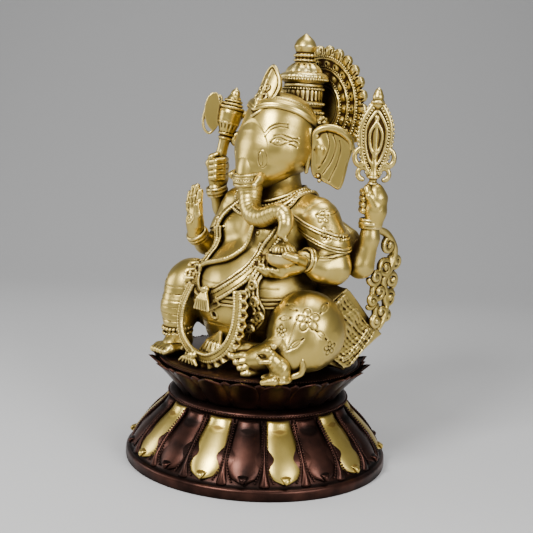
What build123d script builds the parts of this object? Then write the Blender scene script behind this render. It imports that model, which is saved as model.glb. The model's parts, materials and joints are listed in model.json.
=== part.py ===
"""Cast brass Ganesha idol on a two-tier lotus pedestal, built up from its separate castings.

Millimetres, +Z up. The origin is the centre of the pedestal's underside. The figure faces -Y and
its own left is +X. The figure's stations are written above the seat, at figure_height 416.
"""
from build123d import *
import math
import os

os.makedirs("parts", exist_ok=True)

# ---- driving dimensions -------------------------------------------------------------------------
base_radius = 170.0         # foot of the pedestal
rim_height = 14.5
rim_ledge = 5.0             # flat step between the rim and the bell
shell_wall = 5.0            # wall of both pedestal castings
waist_radius = 110.0
waist_height = 81.0         # top of the lower casting
waist_plate = 6.0           # plate that closes the top of the lower casting
moulding_height = 9.0
moulding_bulge = 4.5
upper_foot_radius = 100.0   # where the upper casting stands on the moulding
seat_radius = 128.0         # outside of the upper casting, under its petal tips
seat_height = 133.0         # top face that the figure sits on
seat_thickness = 6.0
seat_ledge = 5.0            # inner ledge that carries the seat plate
petal_pairs = 10            # polished petals, with as many dark ones between
petal_thickness = 4.0
petal_gap = 1.6             # between neighbouring lower petals
petal_tip_margin = 4.0      # from a lower petal's tip to the rim's edge
upper_petal_reach = 13.0    # how far the upper tips flare past the seat
upper_petal_gap = 1.2

bolt_diameter = 10.0
bolt_clearance = 0.5        # on the radius, where the bolt passes through
bolt_head_across = 17.0
bolt_head_height = 6.4
bolt_engagement = 26.0      # thread inside the torso's boss
boss_radius = 13.0
washer_radius = 18.0
washer_thickness = 2.5

figure_height = 416.0       # seat to crown tip
torso_wall = 7.0
core_top = 165.0            # top of the torso's hollow, above the seat, in figure units
belt_rise = 3.5             # how far the belt stands off the belly
bangle_rise = 3.0
armlet_rise = 2.5
anklet_rise = 3.0
armlet_width = 16.0
bangle_width = 6.0
band_rise = 3.0
ear_thickness = 6.0
crest_thickness = 5.0
crown_radius = 25.0
halo_radius = 80.0
halo_hub_radius = 33.0      # edge of the plain sunk centre
halo_thickness = 6.0
halo_leaf_count = 26
halo_leaf_length = 13.0
halo_ring_rise = 3.0
stud_diameter = 8.0
stud_seat_depth = 14.0      # stud inside the crown
nut_across = 14.0
nut_height = 6.0
drape_thickness = 3.0       # cloth hung over the cushion's ends

# ---- places in the figure, in figure units above the seat ----------------------------------------
FIGURE_UNITS = 416.0
BEND_SHARE = 1.15           # an arm's bend, as a share of its own radius
CROWN_AXIS_Y = 52.0
HALO_Z = 323.0
HALO_Y = 88.0
BOWL_PLACE = (78, -40, 140)
MOUSE_PLACE = (112, -70, 0)

TORSO = [(0, 2, 0, 66, 58), (0, -4, 28, 76, 74), (0, -6, 57, 81, 81), (0, -6, 82, 82, 82),
         (0, -4, 107, 78, 77), (0, 0, 129, 71, 67), (0, 6, 152, 66, 56), (0, 12, 179, 63, 45),
         (0, 18, 202, 54, 36), (0, 20, 219, 34, 28), (0, 20, 236, 27, 26)]
HEAD = [(0, 20, 236, 27, 26), (0, 12, 247, 42, 42), (0, 14, 266, 48, 48), (0, 18, 284, 48, 49),
        (0, 24, 302, 45, 48), (0, 32, 316, 38, 42)]
TRUNK = [(0, -8, 262, 27), (0, -26, 248, 21), (2, -32, 231, 17), (5, -35, 212, 14.5),
         (11, -38, 197, 13.5), (22, -40, 188, 13), (38, -40, 187, 12), (53, -39, 194, 11),
         (66, -38, 197, 10.5), (76, -38, 191, 9.5), (79, -40, 180, 8), (76, -42, 171, 6)]
LEFT_LEG = [(30, 8, 45, 42), (62, 0, 50, 46), (92, -12, 54, 44), (112, -16, 54, 34), (124, -16, 53, 16)]
LEFT_SHIN = [(112, -26, 38, 18), (102, -46, 32, 22), (84, -68, 24, 16), (70, -80, 20, 13),
             (58, -90, 26, 9)]
RIGHT_LEG = [(-28, -2, 42, 34), (-55, -30, 64, 34), (-76, -52, 84, 31), (-84, -60, 94, 20)]
RIGHT_SHIN = [(-84, -66, 88, 24), (-82, -74, 66, 25), (-76, -80, 42, 19), (-72, -84, 20, 14),
              (-71, -86, 8, 13)]
RIGHT_FOOT = [(-70, -74, 9, 10), (-72, -90, 9, 12), (-76, -104, 7, 11), (-79, -114, 6, 6)]
ARM_RADIUS = 13.5
ARMS = {
    "left_front": [(48, 16, 184), (98, 20, 158), (103, 18, 130), (93, -12, 139)],
    "right_front": [(-48, 16, 184), (-94, 12, 160), (-100, 0, 128), (-92, -36, 146)],
    "left_rear": [(40, 40, 184), (92, 62, 160), (120, 54, 140), (124, 60, 182)],
    "right_rear": [(-40, 40, 184), (-90, 58, 164), (-112, 34, 150), (-105, 2, 206)],
}
HANDS = {
    "left_front": [(93, -12, 139, 13.5), (88, -27, 138, 12), (82, -42, 136, 10), (76, -56, 136, 6)],
    "right_front": [(-92, -36, 146, 13.5), (-92, -43, 164, 13), (-92, -46, 190, 12), (-92, -46, 216, 5)],
    "left_rear": [(124, 60, 182, 13.5), (125, 60, 200, 15), (126, 58, 222, 13), (126, 57, 236, 8)],
    "right_rear": [(-105, 2, 206, 13.5), (-104, 0, 226, 15), (-104, 0, 246, 13), (-104, 1, 257, 8)],
}
ANKLETS = [[(92, -59, 28, 19), (86, -66, 25, 16.5)], [(-74, -82, 30, 16.3), (-72.5, -83.5, 22, 14.6)]]
UPPER_SHAWL = [(-30, -2, 206, 7), (-38, -24, 186, 7), (-52, -42, 160, 7), (-58, -56, 130, 7),
               (-52, -70, 98, 7), (-32, -80, 80, 7), (0, -89, 84, 7), (28, -83, 96, 7),
               (48, -64, 122, 7), (58, -38, 152, 7), (62, -16, 176, 7)]
LOWER_SHAWL = [(-52, -74, 84, 6), (-62, -82, 56, 6), (-56, -96, 28, 6), (-34, -104, 12, 6),
               (-6, -98, 10, 6), (16, -90, 24, 6), (28, -88, 46, 6), (34, -86, 70, 6)]
TASSELS = [[(-40, -88, 72, 4), (-40, -94, 60, 7), (-40, -95, 48, 8)],
           [(-40, -108, 14, 4), (-42, -114, 10, 5), (-44, -122, 8, 5)]]
NAGA = [(26, -42, 164, 6), (20, -58, 144, 6), (10, -68, 132, 6), (-8, -72, 124, 6),
        (-26, -72, 114, 7), (-38, -74, 100, 8), (-42, -74, 92, 4)]
EAR_OUTLINE = [(0, 18), (12, 26), (30, 27), (46, 16), (46, -6), (38, -30), (30, -46), (14, -36), (2, -26)]
EAR_ROOT = (50, 27, 266)
EAR_TURN = 42.0
BOLSTER_CORNERS = [(35, 107), (107, 39), (30, 0), (-20, 26), (-38, 67)]
BOLSTER_REACH = (-112.0, 119.0)
DRAPE_CORNERS = [(33, 98), (62, 66), (66, 48), (44, 16), (8, 32)]
SCROLL = [(124, 76, 176, 5), (124, 94, 168, 7), (124, 106, 146, 8), (124, 100, 122, 9),
          (126, 92, 100, 9), (128, 96, 80, 7), (129, 98, 64, 5)]
NOOSE_OUTLINE = [(0, -52), (9, -30), (17, -6), (16, 20), (0, 42), (-16, 20), (-17, -6), (-9, -30)]
NOOSE_PLACE = (126, 57, 289)
AXE_FOOT = (-104, 0, 232)
AXE_TIP = (-92, 18, 344)

scale = figure_height / FIGURE_UNITS


def at(x, y, z):
    """A place in the figure, from figure units above the seat to millimetres."""
    return Vector(x * scale, y * scale, seat_height + z * scale)


def section_planes(points, side):
    """Planes square to the line through the points, carried along it without twist."""
    planes = []
    for i, point in enumerate(points):
        ahead = (points[min(i + 1, len(points) - 1)] - points[max(i - 1, 0)]).normalized()
        side = (side - ahead * side.dot(ahead)).normalized()
        planes.append(Plane(origin=point, x_dir=side, z_dir=ahead))
    return planes


def limb(stations, rise=0.0):
    """A closed loft through round stations: x, y, z, radius."""
    planes = section_planes([at(*station[:3]) for station in stations], Vector(1, 0, 0))
    with BuildPart() as body:
        for plane, station in zip(planes, stations):
            with BuildSketch(plane):
                Circle(station[3] * scale + rise)
        loft()
    return body.part


def tube(points, radius):
    """A round bar along straight runs joined by one bend, with flat ends."""
    places = [at(*point) for point in points]
    with BuildPart() as bar:
        with BuildLine() as centre_line:
            FilletPolyline(*places, radius=radius * scale * BEND_SHARE)
        with BuildSketch(Plane(origin=places[0], z_dir=places[1] - places[0])):
            Circle(radius * scale)
        sweep(path=centre_line.wires()[0])
    return bar.part


def cuff(start, end, radius, rise, width):
    """A ring of the given width round a straight run of a bar, measured back from its end."""
    start, end = at(*start), at(*end)
    along = (end - start).normalized()
    with BuildPart() as ring:
        with BuildSketch(Plane(origin=end - along * width, z_dir=along)):
            Circle(radius * scale + rise)
            Circle(radius * scale, mode=Mode.SUBTRACT)
        extrude(amount=width)
    return ring.part


def upright(stations, shrink=0.0):
    """A closed loft through level ovals: x, y, z, half width, half depth."""
    with BuildPart() as body:
        for x, y, z, half_width, half_depth in stations:
            with BuildSketch(Plane(at(x, y, z))):
                Ellipse(half_width * scale - shrink, half_depth * scale - shrink)
        loft()
    return body.part


def boxes_meet(one, other):
    """Whether two pieces' bounding boxes overlap, so that a cut between them can matter."""
    one_box, other_box = one.bounding_box(), other.bounding_box()
    lows = zip(tuple(one_box.min), tuple(other_box.max))
    highs = zip(tuple(one_box.max), tuple(other_box.min))
    return all(low < high for low, high in lows) and all(high > low for high, low in highs)


def fitted(piece, *neighbours):
    """The piece with every neighbour's room cut out of it, and only its main solid kept."""
    with BuildPart() as body:
        add(piece)
        for neighbour in neighbours:
            if boxes_meet(piece, neighbour):
                add(neighbour, mode=Mode.SUBTRACT)
    return body.part.solids().sort_by(SortBy.VOLUME)[-1]


def turned(radii_and_heights, turn=360.0):
    """A solid of revolution about Z through a closed outline of (radius, height) points."""
    with BuildPart() as body:
        with BuildSketch(Plane.XZ):
            with BuildLine():
                Polyline(*radii_and_heights, close=True)
            make_face()
        revolve(axis=Axis.Z, revolution_arc=turn)
    return body.part


def save(name, *solids):
    """Write one node, of one solid or of a group of like ones."""
    piece = solids[0] if len(solids) == 1 else Compound(children=list(solids))
    piece.label = name
    export_step(piece, f"parts/{name}.step")
    return piece


# ---- pedestal -----------------------------------------------------------------------------------
bell_foot = base_radius - rim_ledge
bell_curve = [(bell_foot, rim_height), (bell_foot - 9, rim_height + 22), (waist_radius + 17, waist_height - 20),
              (waist_radius, waist_height)]
moulding_top = waist_height + moulding_height
flare_curve = [(upper_foot_radius, moulding_top), (upper_foot_radius + 7, moulding_top + 14),
               (seat_radius - 6, seat_height - 15), (seat_radius, seat_height)]


def shifted(curve, outward):
    """The curve's points moved outward by a distance, level."""
    return [(radius + outward, height) for radius, height in curve]


def band(curve, inner_shift, outer_shift, turn=360.0):
    """A shell of revolution between two copies of a curve, moved level from it."""
    with BuildPart() as body:
        with BuildSketch(Plane.XZ):
            with BuildLine():
                outer = Spline(*shifted(curve, outer_shift))
                inner = Spline(*shifted(curve, inner_shift))
                Line(outer @ 0, inner @ 0)
                Line(outer @ 1, inner @ 1)
            make_face()
        revolve(axis=Axis.Z, revolution_arc=turn)
    return body.part


def make_lower_lotus():
    with BuildPart() as lower_lotus:
        add(band(bell_curve, -shell_wall, 0))
        with BuildSketch():
            Circle(base_radius)
            Circle(bell_foot - shell_wall - 6, mode=Mode.SUBTRACT)
        extrude(amount=rim_height)
        with BuildSketch(Plane.XY.offset(waist_height - waist_plate)):
            Circle(waist_radius - shell_wall + 3)
        extrude(amount=waist_plate)
        Hole(bolt_diameter / 2 + bolt_clearance)
    return lower_lotus.part


def lower_petal():
    """One petal lying on the bell: a sector of its skin, trimmed to a rounded outline."""
    petal_turn = 180 / petal_pairs
    half_width = math.radians(petal_turn / 2) * (base_radius - petal_tip_margin) - petal_gap / 2
    top_half = math.radians(petal_turn / 2) * waist_radius - petal_gap / 2
    tip = base_radius - petal_tip_margin
    with BuildPart() as petal:
        add(band(bell_curve, 0, petal_thickness, turn=petal_turn).rotate(Axis.Z, -petal_turn / 2))
        with BuildSketch(Plane.XY):
            with BuildLine():
                Polyline((waist_radius - 20, -top_half + 1), (waist_radius, -top_half), (tip - 26, -half_width + 3))
                ThreePointArc((tip - 26, -half_width + 3), (tip, 0), (tip - 26, half_width - 3))
                Polyline((tip - 26, half_width - 3), (waist_radius, top_half), (waist_radius - 20, top_half - 1),
                         (waist_radius - 20, -top_half + 1))
            make_face()
        extrude(amount=waist_height + 1, mode=Mode.INTERSECT)
    return petal.part.solids().sort_by(SortBy.VOLUME)[-1]


def make_waist_moulding():
    with BuildPart() as moulding:
        with BuildSketch(Plane.XZ):
            with BuildLine():
                inner = upper_foot_radius - 14
                Polyline((waist_radius, moulding_top), (inner, moulding_top), (inner, waist_height),
                         (waist_radius, waist_height))
                ThreePointArc((waist_radius, waist_height),
                              (waist_radius + moulding_bulge, waist_height + moulding_height / 2),
                              (waist_radius, moulding_top))
            make_face()
        revolve(axis=Axis.Z)
    return moulding.part


def make_upper_lotus():
    with BuildPart() as upper_lotus:
        add(band(flare_curve, -shell_wall, 0))
        ledge_top = seat_height - seat_thickness
        inside = seat_radius - shell_wall
        add(turned([(inside - seat_ledge - 6, ledge_top), (inside - 1, ledge_top), (inside - 1, ledge_top - 6)]))
    return upper_lotus.part


def seat_blank():
    with BuildPart() as blank:
        with BuildSketch(Plane.XY.offset(seat_height - seat_thickness)):
            Circle(seat_radius - 2)
        extrude(amount=seat_thickness)
    return blank.part


def upper_petal():
    """One upright petal of the seat, flaring out to a pointed tip."""
    petal_turn = 180 / petal_pairs
    flare = [(upper_foot_radius, moulding_top), (upper_foot_radius + 8, moulding_top + 12),
             (seat_radius - 2, seat_height - 17), (seat_radius + upper_petal_reach, seat_height)]
    half_foot = math.radians(petal_turn / 2) * upper_foot_radius - upper_petal_gap / 2
    half_width = math.radians(petal_turn / 2) * seat_radius - upper_petal_gap / 2
    shoulder = moulding_top + 0.62 * (seat_height - moulding_top)
    with BuildPart() as petal:
        add(band(flare, 0, petal_thickness - 1, turn=petal_turn).rotate(Axis.Z, -petal_turn / 2))
        with BuildSketch(Plane.YZ.offset(upper_foot_radius - 30)):
            with BuildLine():
                Polyline((0, seat_height), (-half_width * 0.72, shoulder + 12), (-half_width, shoulder),
                         (-half_foot, moulding_top), (half_foot, moulding_top), (half_width, shoulder),
                         (half_width * 0.72, shoulder + 12), (0, seat_height))
            make_face()
        extrude(amount=seat_radius, mode=Mode.INTERSECT)
    return petal.part


def ring_of(piece, count, start=0.0):
    """Copies of a piece set evenly about Z."""
    return [piece.rotate(Axis.Z, start + 360.0 * i / count) for i in range(count)]


def make_tie_bolt():
    head_top = waist_height - waist_plate - washer_thickness
    with BuildPart() as tie_bolt:
        with BuildSketch(Plane.XY.offset(head_top - bolt_head_height)):
            RegularPolygon(bolt_head_across / 2, 6, major_radius=False)
        extrude(amount=bolt_head_height)
        with BuildSketch(Plane.XY.offset(head_top)):
            Circle(bolt_diameter / 2)
        extrude(amount=seat_height + bolt_engagement - head_top)
        chamfer(tie_bolt.edges().filter_by(GeomType.CIRCLE).sort_by(Axis.Z)[-1], 1.0)
    return tie_bolt.part


def make_tie_washer():
    with BuildPart() as tie_washer:
        with BuildSketch(Plane.XY.offset(waist_height - waist_plate - washer_thickness)):
            Circle(washer_radius)
            Circle(bolt_diameter / 2 + bolt_clearance, mode=Mode.SUBTRACT)
        extrude(amount=washer_thickness)
    return tie_washer.part


pedestal_axis_hole = bolt_diameter / 2 + bolt_clearance
lower_lotus = make_lower_lotus()
save("lower_lotus", lower_lotus)
one_petal = fitted(lower_petal(), lower_lotus)
petal_pitch = 360.0 / (2 * petal_pairs)
save("gilt_petals", *ring_of(one_petal, petal_pairs, petal_pitch / 2))
save("dark_petals", *ring_of(one_petal, petal_pairs, -petal_pitch / 2))
waist_moulding = make_waist_moulding()
upper_lotus = make_upper_lotus()
save("waist_moulding", waist_moulding)
seat_plate = fitted(seat_blank(), upper_lotus)
with BuildPart() as drilled_seat:
    add(seat_plate)
    with BuildSketch(Plane.XY.offset(seat_height)):
        Circle(pedestal_axis_hole)
    extrude(amount=-seat_thickness, mode=Mode.SUBTRACT)
save("seat_plate", drilled_seat.part)
save("upper_lotus", upper_lotus)
one_upper_petal = fitted(upper_petal(), upper_lotus, waist_moulding)
save("upper_petals", *ring_of(one_upper_petal, 2 * petal_pairs))
save("tie_bolt", make_tie_bolt())
save("tie_washer", make_tie_washer())

# ---- body and legs ------------------------------------------------------------------------------
with BuildPart() as seat_room:
    with BuildSketch():
        Circle(2 * base_radius)
    extrude(amount=seat_height)


def make_torso():
    """Hollow casting, open at the seat, with a tapped boss down its middle for the tie bolt."""
    core = [station for station in TORSO if station[2] <= core_top]
    with BuildPart() as hollow:
        add(upright(core, shrink=torso_wall))
        with BuildSketch(Plane.XY.offset(seat_height)):
            Circle(boss_radius)
        extrude(amount=core_top * scale, mode=Mode.SUBTRACT)
    with BuildPart() as torso:
        add(upright(TORSO))
        add(hollow.part, mode=Mode.SUBTRACT)
        with BuildSketch(Plane.XY.offset(seat_height)):
            Circle(bolt_diameter / 2)
        extrude(amount=bolt_engagement + 4, mode=Mode.SUBTRACT)
    return torso.part.solids().sort_by(SortBy.VOLUME)[-1]


body_blank = upright(TORSO)
torso = make_torso()
save("torso", torso)


def make_leg(thigh, *lower):
    with BuildPart() as leg:
        add(limb(thigh))
        for stations in lower:
            add(limb(stations))
    return fitted(leg.part, body_blank, seat_room.part)


left_leg = make_leg(LEFT_LEG, LEFT_SHIN)
right_leg = fitted(make_leg(RIGHT_LEG, RIGHT_SHIN, RIGHT_FOOT), left_leg)
save("left_leg", left_leg)
save("right_leg", right_leg)
anklets = [fitted(limb(stations, anklet_rise), left_leg, right_leg, seat_room.part) for stations in ANKLETS]
save("anklets", *anklets)


def make_pleats():
    """The fan of cloth between the legs, from the belly down to the seat."""
    spread = [(-62, -50), (-40, -98), (-8, -108), (28, -96), (50, -60)]
    gathered = [(-46, -50), (-32, -74), (-6, -80), (22, -72), (40, -52)]
    with BuildPart() as pleats:
        for outline, rise in ((spread, 0), (gathered, 40)):
            with BuildSketch(Plane(at(0, 0, rise))):
                with BuildLine():
                    Polyline(*[(x * scale, y * scale) for x, y in outline], close=True)
                make_face()
        loft()
    return fitted(pleats.part, body_blank, left_leg, right_leg, *anklets)


pleats = make_pleats()
save("dhoti_pleats", pleats)


head = fitted(upright(HEAD), body_blank)
save("head", head)


def oval_band(low, high, rise, *neighbours):
    """A band round the torso between two heights, standing off its surface."""
    with BuildPart() as wrapped:
        add(upright([station for station in TORSO if low - 30 < station[2] < high + 30], shrink=-rise))
        with BuildSketch(Plane(at(0, 0, low))):
            Circle(2 * base_radius)
        extrude(amount=(high - low) * scale, mode=Mode.INTERSECT)
    return fitted(wrapped.part, body_blank, *neighbours)


waist_belt = oval_band(86, 95, belt_rise, left_leg, right_leg)
save("waist_belt", waist_belt)
collar = oval_band(212, 233, belt_rise, head)

# ---- head and crown -----------------------------------------------------------------------------
trunk_blank = limb(TRUNK)
trunk = fitted(trunk_blank, head, body_blank)
save("trunk", trunk)
trunk_band = fitted(limb([(1, -29, 240, 19), (3, -33, 226, 16.5)], band_rise), head, trunk_blank, body_blank)
save("trunk_band", trunk_band)
left_tusk = fitted(limb([(14, -18, 244, 8), (20, -32, 236, 8), (23, -40, 232, 4)]), head, trunk_blank, trunk_band)
right_tusk = fitted(limb([(-14, -18, 244, 8), (-20, -34, 236, 7), (-24, -52, 230, 2)]), head, trunk_blank, trunk_band)
save("tusks", left_tusk, right_tusk)


def make_ear(hand):
    """A fan-shaped ear plate, turned to face forward and outward."""
    root_x, root_y, root_z = EAR_ROOT
    out_turn = math.radians(EAR_TURN)
    across = Vector(hand * math.cos(out_turn), math.sin(out_turn), 0)
    ear_plane = Plane(at(hand * root_x, root_y, root_z), x_dir=across, z_dir=across.cross(Vector(0, 0, 1)))
    with BuildPart() as ear:
        with BuildSketch(ear_plane):
            with BuildLine():
                Spline(*[(x * scale, z * scale) for x, z in EAR_OUTLINE], periodic=True)
            make_face()
        extrude(amount=ear_thickness / 2, both=True)
    return fitted(ear.part, head, body_blank)


save("left_ear", make_ear(1))
save("right_ear", make_ear(-1))

crown_base = 310
crown_stack = [("crown_drum", [(24, 0), (24.6, 22), (25, 44)]),
               ("crown_lip", [(25, 44), (29, 47), (29, 51), (25, 54)]),
               ("crown_dome", [(25, 54), (21, 63), (13, 70), (12, 80)]),
               ("crown_finial", [(12, 80), (15, 90), (12, 98), (1, 106)])]


def crown_piece(outline):
    """One turned piece of the crown: (radius, rise) points from its foot to its top."""
    foot, top = outline[0][1], outline[-1][1]
    wide = crown_radius / 25 * scale
    points = [(radius * wide, rise * scale) for radius, rise in outline]
    with BuildPart() as piece:
        with BuildSketch(Plane(at(0, CROWN_AXIS_Y, crown_base), x_dir=(1, 0, 0), z_dir=(0, -1, 0))):
            with BuildLine():
                side = Spline(*points)
                Polyline(side @ 1, (0, top * scale), (0, foot * scale), side @ 0)
            make_face()
        revolve(axis=Axis(at(0, CROWN_AXIS_Y, 0), (0, 0, 1)))
    return piece.part


drum = fitted(crown_piece(crown_stack[0][1]), head)
stud_place = at(0, CROWN_AXIS_Y + crown_radius, HALO_Z + 3)
with BuildPart() as halo_stud:
    stud_start = stud_place - Vector(0, stud_seat_depth, 0)
    halo_back = HALO_Y * scale + halo_thickness
    with BuildSketch(Plane(stud_start, x_dir=(1, 0, 0), z_dir=(0, 1, 0))):
        Circle(stud_diameter / 2)
    extrude(amount=halo_back + nut_height + 2 - stud_start.Y)
stud = halo_stud.part
crown_drum = fitted(drum, stud)
save("crown_drum", crown_drum)
for name, outline in crown_stack[1:]:
    save(name, crown_piece(outline))
save("halo_stud", stud)

diadem_stations = [(0, 18, 292, 52, 52), (0, 22, 304, 50, 53), (0, 26, 316, 46, 50)]
diadem = fitted(upright(diadem_stations), head, crown_drum, stud)
save("diadem", diadem)


def make_crest():
    """The pointed leaf at the front of the crown, leaning back."""
    crest_foot, crest_top = at(0, -27, 312), at(0, 4, 375)
    up = (crest_top - crest_foot).normalized()
    with BuildPart() as crest:
        with BuildSketch(Plane(crest_foot, x_dir=(1, 0, 0), z_dir=Vector(1, 0, 0).cross(up))):
            with BuildLine():
                tall = (crest_top - crest_foot).length
                side = Spline((-6 * scale, 0), (-15 * scale, tall * 0.42), (0, tall))
                Spline(side @ 1, (15 * scale, tall * 0.42), (6 * scale, 0))
                Line((6 * scale, 0), (-6 * scale, 0))
            make_face()
        extrude(amount=-crest_thickness)
    return fitted(crest.part, head, diadem, crown_drum)


save("crest_leaf", make_crest())


def make_rosette(hand):
    with BuildPart() as rosette:
        with BuildSketch(Plane(at(hand * 42, 38, 303), x_dir=(0, 1, 0), z_dir=(hand, 0, 0))):
            Circle(8.5 * scale)
        extrude(amount=14 * scale)
    return fitted(rosette.part, head, diadem)


save("crown_rosettes", make_rosette(1), make_rosette(-1))

# ---- halo ---------------------------------------------------------------------------------------
halo_plane = Plane(at(0, HALO_Y, HALO_Z), x_dir=(1, 0, 0), z_dir=(0, -1, 0))
halo_disc_radius = halo_radius - halo_leaf_length


def make_halo_disc():
    """Round back plate with a sunk centre, drilled for the stud."""
    with BuildPart() as halo:
        with BuildSketch(halo_plane):
            Circle(halo_disc_radius)
        extrude(amount=-halo_thickness)
        with BuildSketch(halo_plane):
            Circle(halo_hub_radius)
        extrude(amount=-halo_thickness / 2, mode=Mode.SUBTRACT)
    return fitted(halo.part, stud)


halo_disc = make_halo_disc()
save("halo_disc", halo_disc)


def make_halo_ring(radius, width):
    with BuildPart() as ring:
        with BuildSketch(halo_plane):
            Circle(radius + width / 2)
            Circle(radius - width / 2, mode=Mode.SUBTRACT)
        extrude(amount=halo_ring_rise)
    return ring.part


ring_step = (halo_disc_radius - halo_hub_radius) / 3
save("halo_rings", *[make_halo_ring(halo_hub_radius + 3 + ring_step * i, 5) for i in range(3)])


def make_halo_leaf():
    with BuildPart() as leaf:
        with BuildSketch(halo_plane):
            with BuildLine():
                half = math.pi * halo_disc_radius / halo_leaf_count - 1.0
                root = halo_disc_radius - 2
                Polyline((-half, root), (-half, halo_disc_radius + 3), (0, halo_radius),
                         (half, halo_disc_radius + 3), (half, root), close=True)
            make_face()
        extrude(amount=-halo_thickness + 1)
    return fitted(leaf.part, halo_disc)


halo_leaf = make_halo_leaf()
halo_axis = Axis(at(0, HALO_Y, HALO_Z), (0, -1, 0))
save("halo_leaves", *[halo_leaf.rotate(halo_axis, 360 * i / halo_leaf_count) for i in range(halo_leaf_count)])

with BuildPart() as halo_nut:
    with BuildSketch(Plane(Vector(0, halo_back, stud_place.Z), x_dir=(1, 0, 0), z_dir=(0, 1, 0))):
        RegularPolygon(nut_across / 2, 6, major_radius=False)
        Circle(stud_diameter / 2, mode=Mode.SUBTRACT)
    extrude(amount=nut_height)
save("halo_nut", halo_nut.part)

# ---- arms, hands and what they hold -------------------------------------------------------------
arms = {name: fitted(tube(points, ARM_RADIUS), body_blank) for name, points in ARMS.items()}
for name, arm in arms.items():
    save(name + "_arm", arm)
save("collar", collar)
save("armlets", *[fitted(cuff(*ARMS[name][:2], ARM_RADIUS, armlet_rise, armlet_width), body_blank)
                  for name in ("left_front", "right_front")])
save("bracelets", *[cuff(*points[-2:], ARM_RADIUS, bangle_rise, bangle_width) for points in ARMS.values()])


def make_bowl():
    bowl_x, bowl_y, bowl_z = BOWL_PLACE
    with BuildPart() as bowl:
        with BuildSketch(Plane(at(bowl_x, bowl_y, bowl_z), x_dir=(1, 0, 0), z_dir=(0, -1, 0))):
            with BuildLine():
                outside = Spline((0, 0), (13 * scale, 3 * scale), (18 * scale, 14 * scale))
                inside = Spline((0, 3 * scale), (11 * scale, 6 * scale), (15.5 * scale, 14 * scale))
                Line(outside @ 1, inside @ 1)
                Line(outside @ 0, inside @ 0)
            make_face()
        revolve(axis=Axis(at(bowl_x, bowl_y, 0), (0, 0, 1)))
    return bowl.part


def make_sweets():
    bowl_x, bowl_y, bowl_z = BOWL_PLACE
    with BuildPart() as sweets:
        with BuildSketch(Plane(at(bowl_x, bowl_y, bowl_z), x_dir=(1, 0, 0), z_dir=(0, -1, 0))):
            with BuildLine():
                mound = Spline((0, 3 * scale), (11 * scale, 6 * scale), (15.5 * scale, 14 * scale))
                heap = Spline(mound @ 1, (11 * scale, 20 * scale), (0, 23 * scale))
                Line(heap @ 1, mound @ 0)
            make_face()
        revolve(axis=Axis(at(bowl_x, bowl_y, 0), (0, 0, 1)))
    return sweets.part


bowl = fitted(make_bowl(), body_blank)
sweets = fitted(make_sweets(), bowl, body_blank, trunk)
save("bowl", bowl)
save("sweets", sweets)


def make_axe():
    """Staff with a vase-shaped socket, a crescent blade on one side and a hook on the other."""
    foot, tip = at(*AXE_FOOT), at(*AXE_TIP)
    axe_plane = Plane(foot, x_dir=(1, 0, 0), z_dir=tip - foot)
    profile = [(0, 0), (5, 0), (4, 34), (10, 60), (11, 74), (13, 78), (12, 84), (8, 92), (3, 96), (5, 104), (0, 113)]
    with BuildPart() as axe:
        with BuildSketch(Plane(foot, x_dir=axe_plane.x_dir, z_dir=axe_plane.y_dir)):
            with BuildLine():
                Polyline(*[(radius * scale, -rise * scale) for radius, rise in profile], close=True)
            make_face()
        revolve(axis=Axis(foot, tip - foot))
        blade_plane = Plane(foot, x_dir=axe_plane.x_dir, z_dir=axe_plane.y_dir)
        with BuildSketch(blade_plane):
            with BuildLine():
                ThreePointArc((-16 * scale, -62 * scale), (-32 * scale, -80 * scale),
                              (-14 * scale, -98 * scale))
                ThreePointArc((-16 * scale, -62 * scale), (-8 * scale, -80 * scale),
                              (-14 * scale, -98 * scale))
            make_face()
        extrude(amount=2.5 * scale, both=True)
    return axe.part


def make_noose():
    across = Vector(0.87, 0.5, 0)
    noose_plane = Plane(at(*NOOSE_PLACE), x_dir=across, z_dir=across.cross(Vector(0, 0, 1)))
    with BuildPart() as noose:
        with BuildSketch(noose_plane):
            with BuildLine():
                Polyline(*[(x * scale, z * scale) for x, z in NOOSE_OUTLINE], close=True)
            make_face()
            with Locations((0, 50 * scale)):
                Ellipse(7 * scale, 12 * scale)
        extrude(amount=4 * scale, both=True)
    return noose.part


axe = make_axe()
noose = make_noose()
save("axe", axe)
save("noose", noose)
for name, stations in HANDS.items():
    save(name + "_hand", fitted(limb(stations), axe, noose, bowl, sweets))

# ---- cloth and ornaments ------------------------------------------------------------------------
clad = [body_blank, left_leg, right_leg, pleats, waist_belt, *anklets]
naga_thread = fitted(limb(NAGA), body_blank, trunk)
save("naga_thread", naga_thread)
upper_shawl = fitted(limb(UPPER_SHAWL), body_blank, waist_belt, right_leg, naga_thread, trunk, collar)
lower_shawl = fitted(limb(LOWER_SHAWL), body_blank, right_leg, left_leg, pleats, waist_belt, upper_shawl)
save("upper_shawl", upper_shawl)
save("lower_shawl", lower_shawl)
save("shawl_tassels", *[fitted(limb(stations), right_leg, upper_shawl, lower_shawl, pleats, body_blank)
                        for stations in TASSELS])


def end_plate(corners, start, thickness):
    """A flat plate or prism square to X, through (depth, height) corners."""
    with BuildPart() as plate:
        with BuildSketch(Plane(at(start, 0, 0), x_dir=(0, 1, 0), z_dir=(1, 0, 0))):
            with BuildLine():
                Polyline(*[(y * scale, z * scale) for y, z in corners], close=True)
            make_face()
        extrude(amount=thickness)
    return plate.part


bolster_start, bolster_end = BOLSTER_REACH
bolster = fitted(end_plate(BOLSTER_CORNERS, bolster_start, (bolster_end - bolster_start) * scale),
                 seat_room.part, *clad)
save("bolster", bolster)
drapes = [end_plate(DRAPE_CORNERS, bolster_end, drape_thickness),
          end_plate(DRAPE_CORNERS, bolster_start, -drape_thickness)]
save("bolster_drapes", *[fitted(drape, *clad) for drape in drapes])

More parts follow.
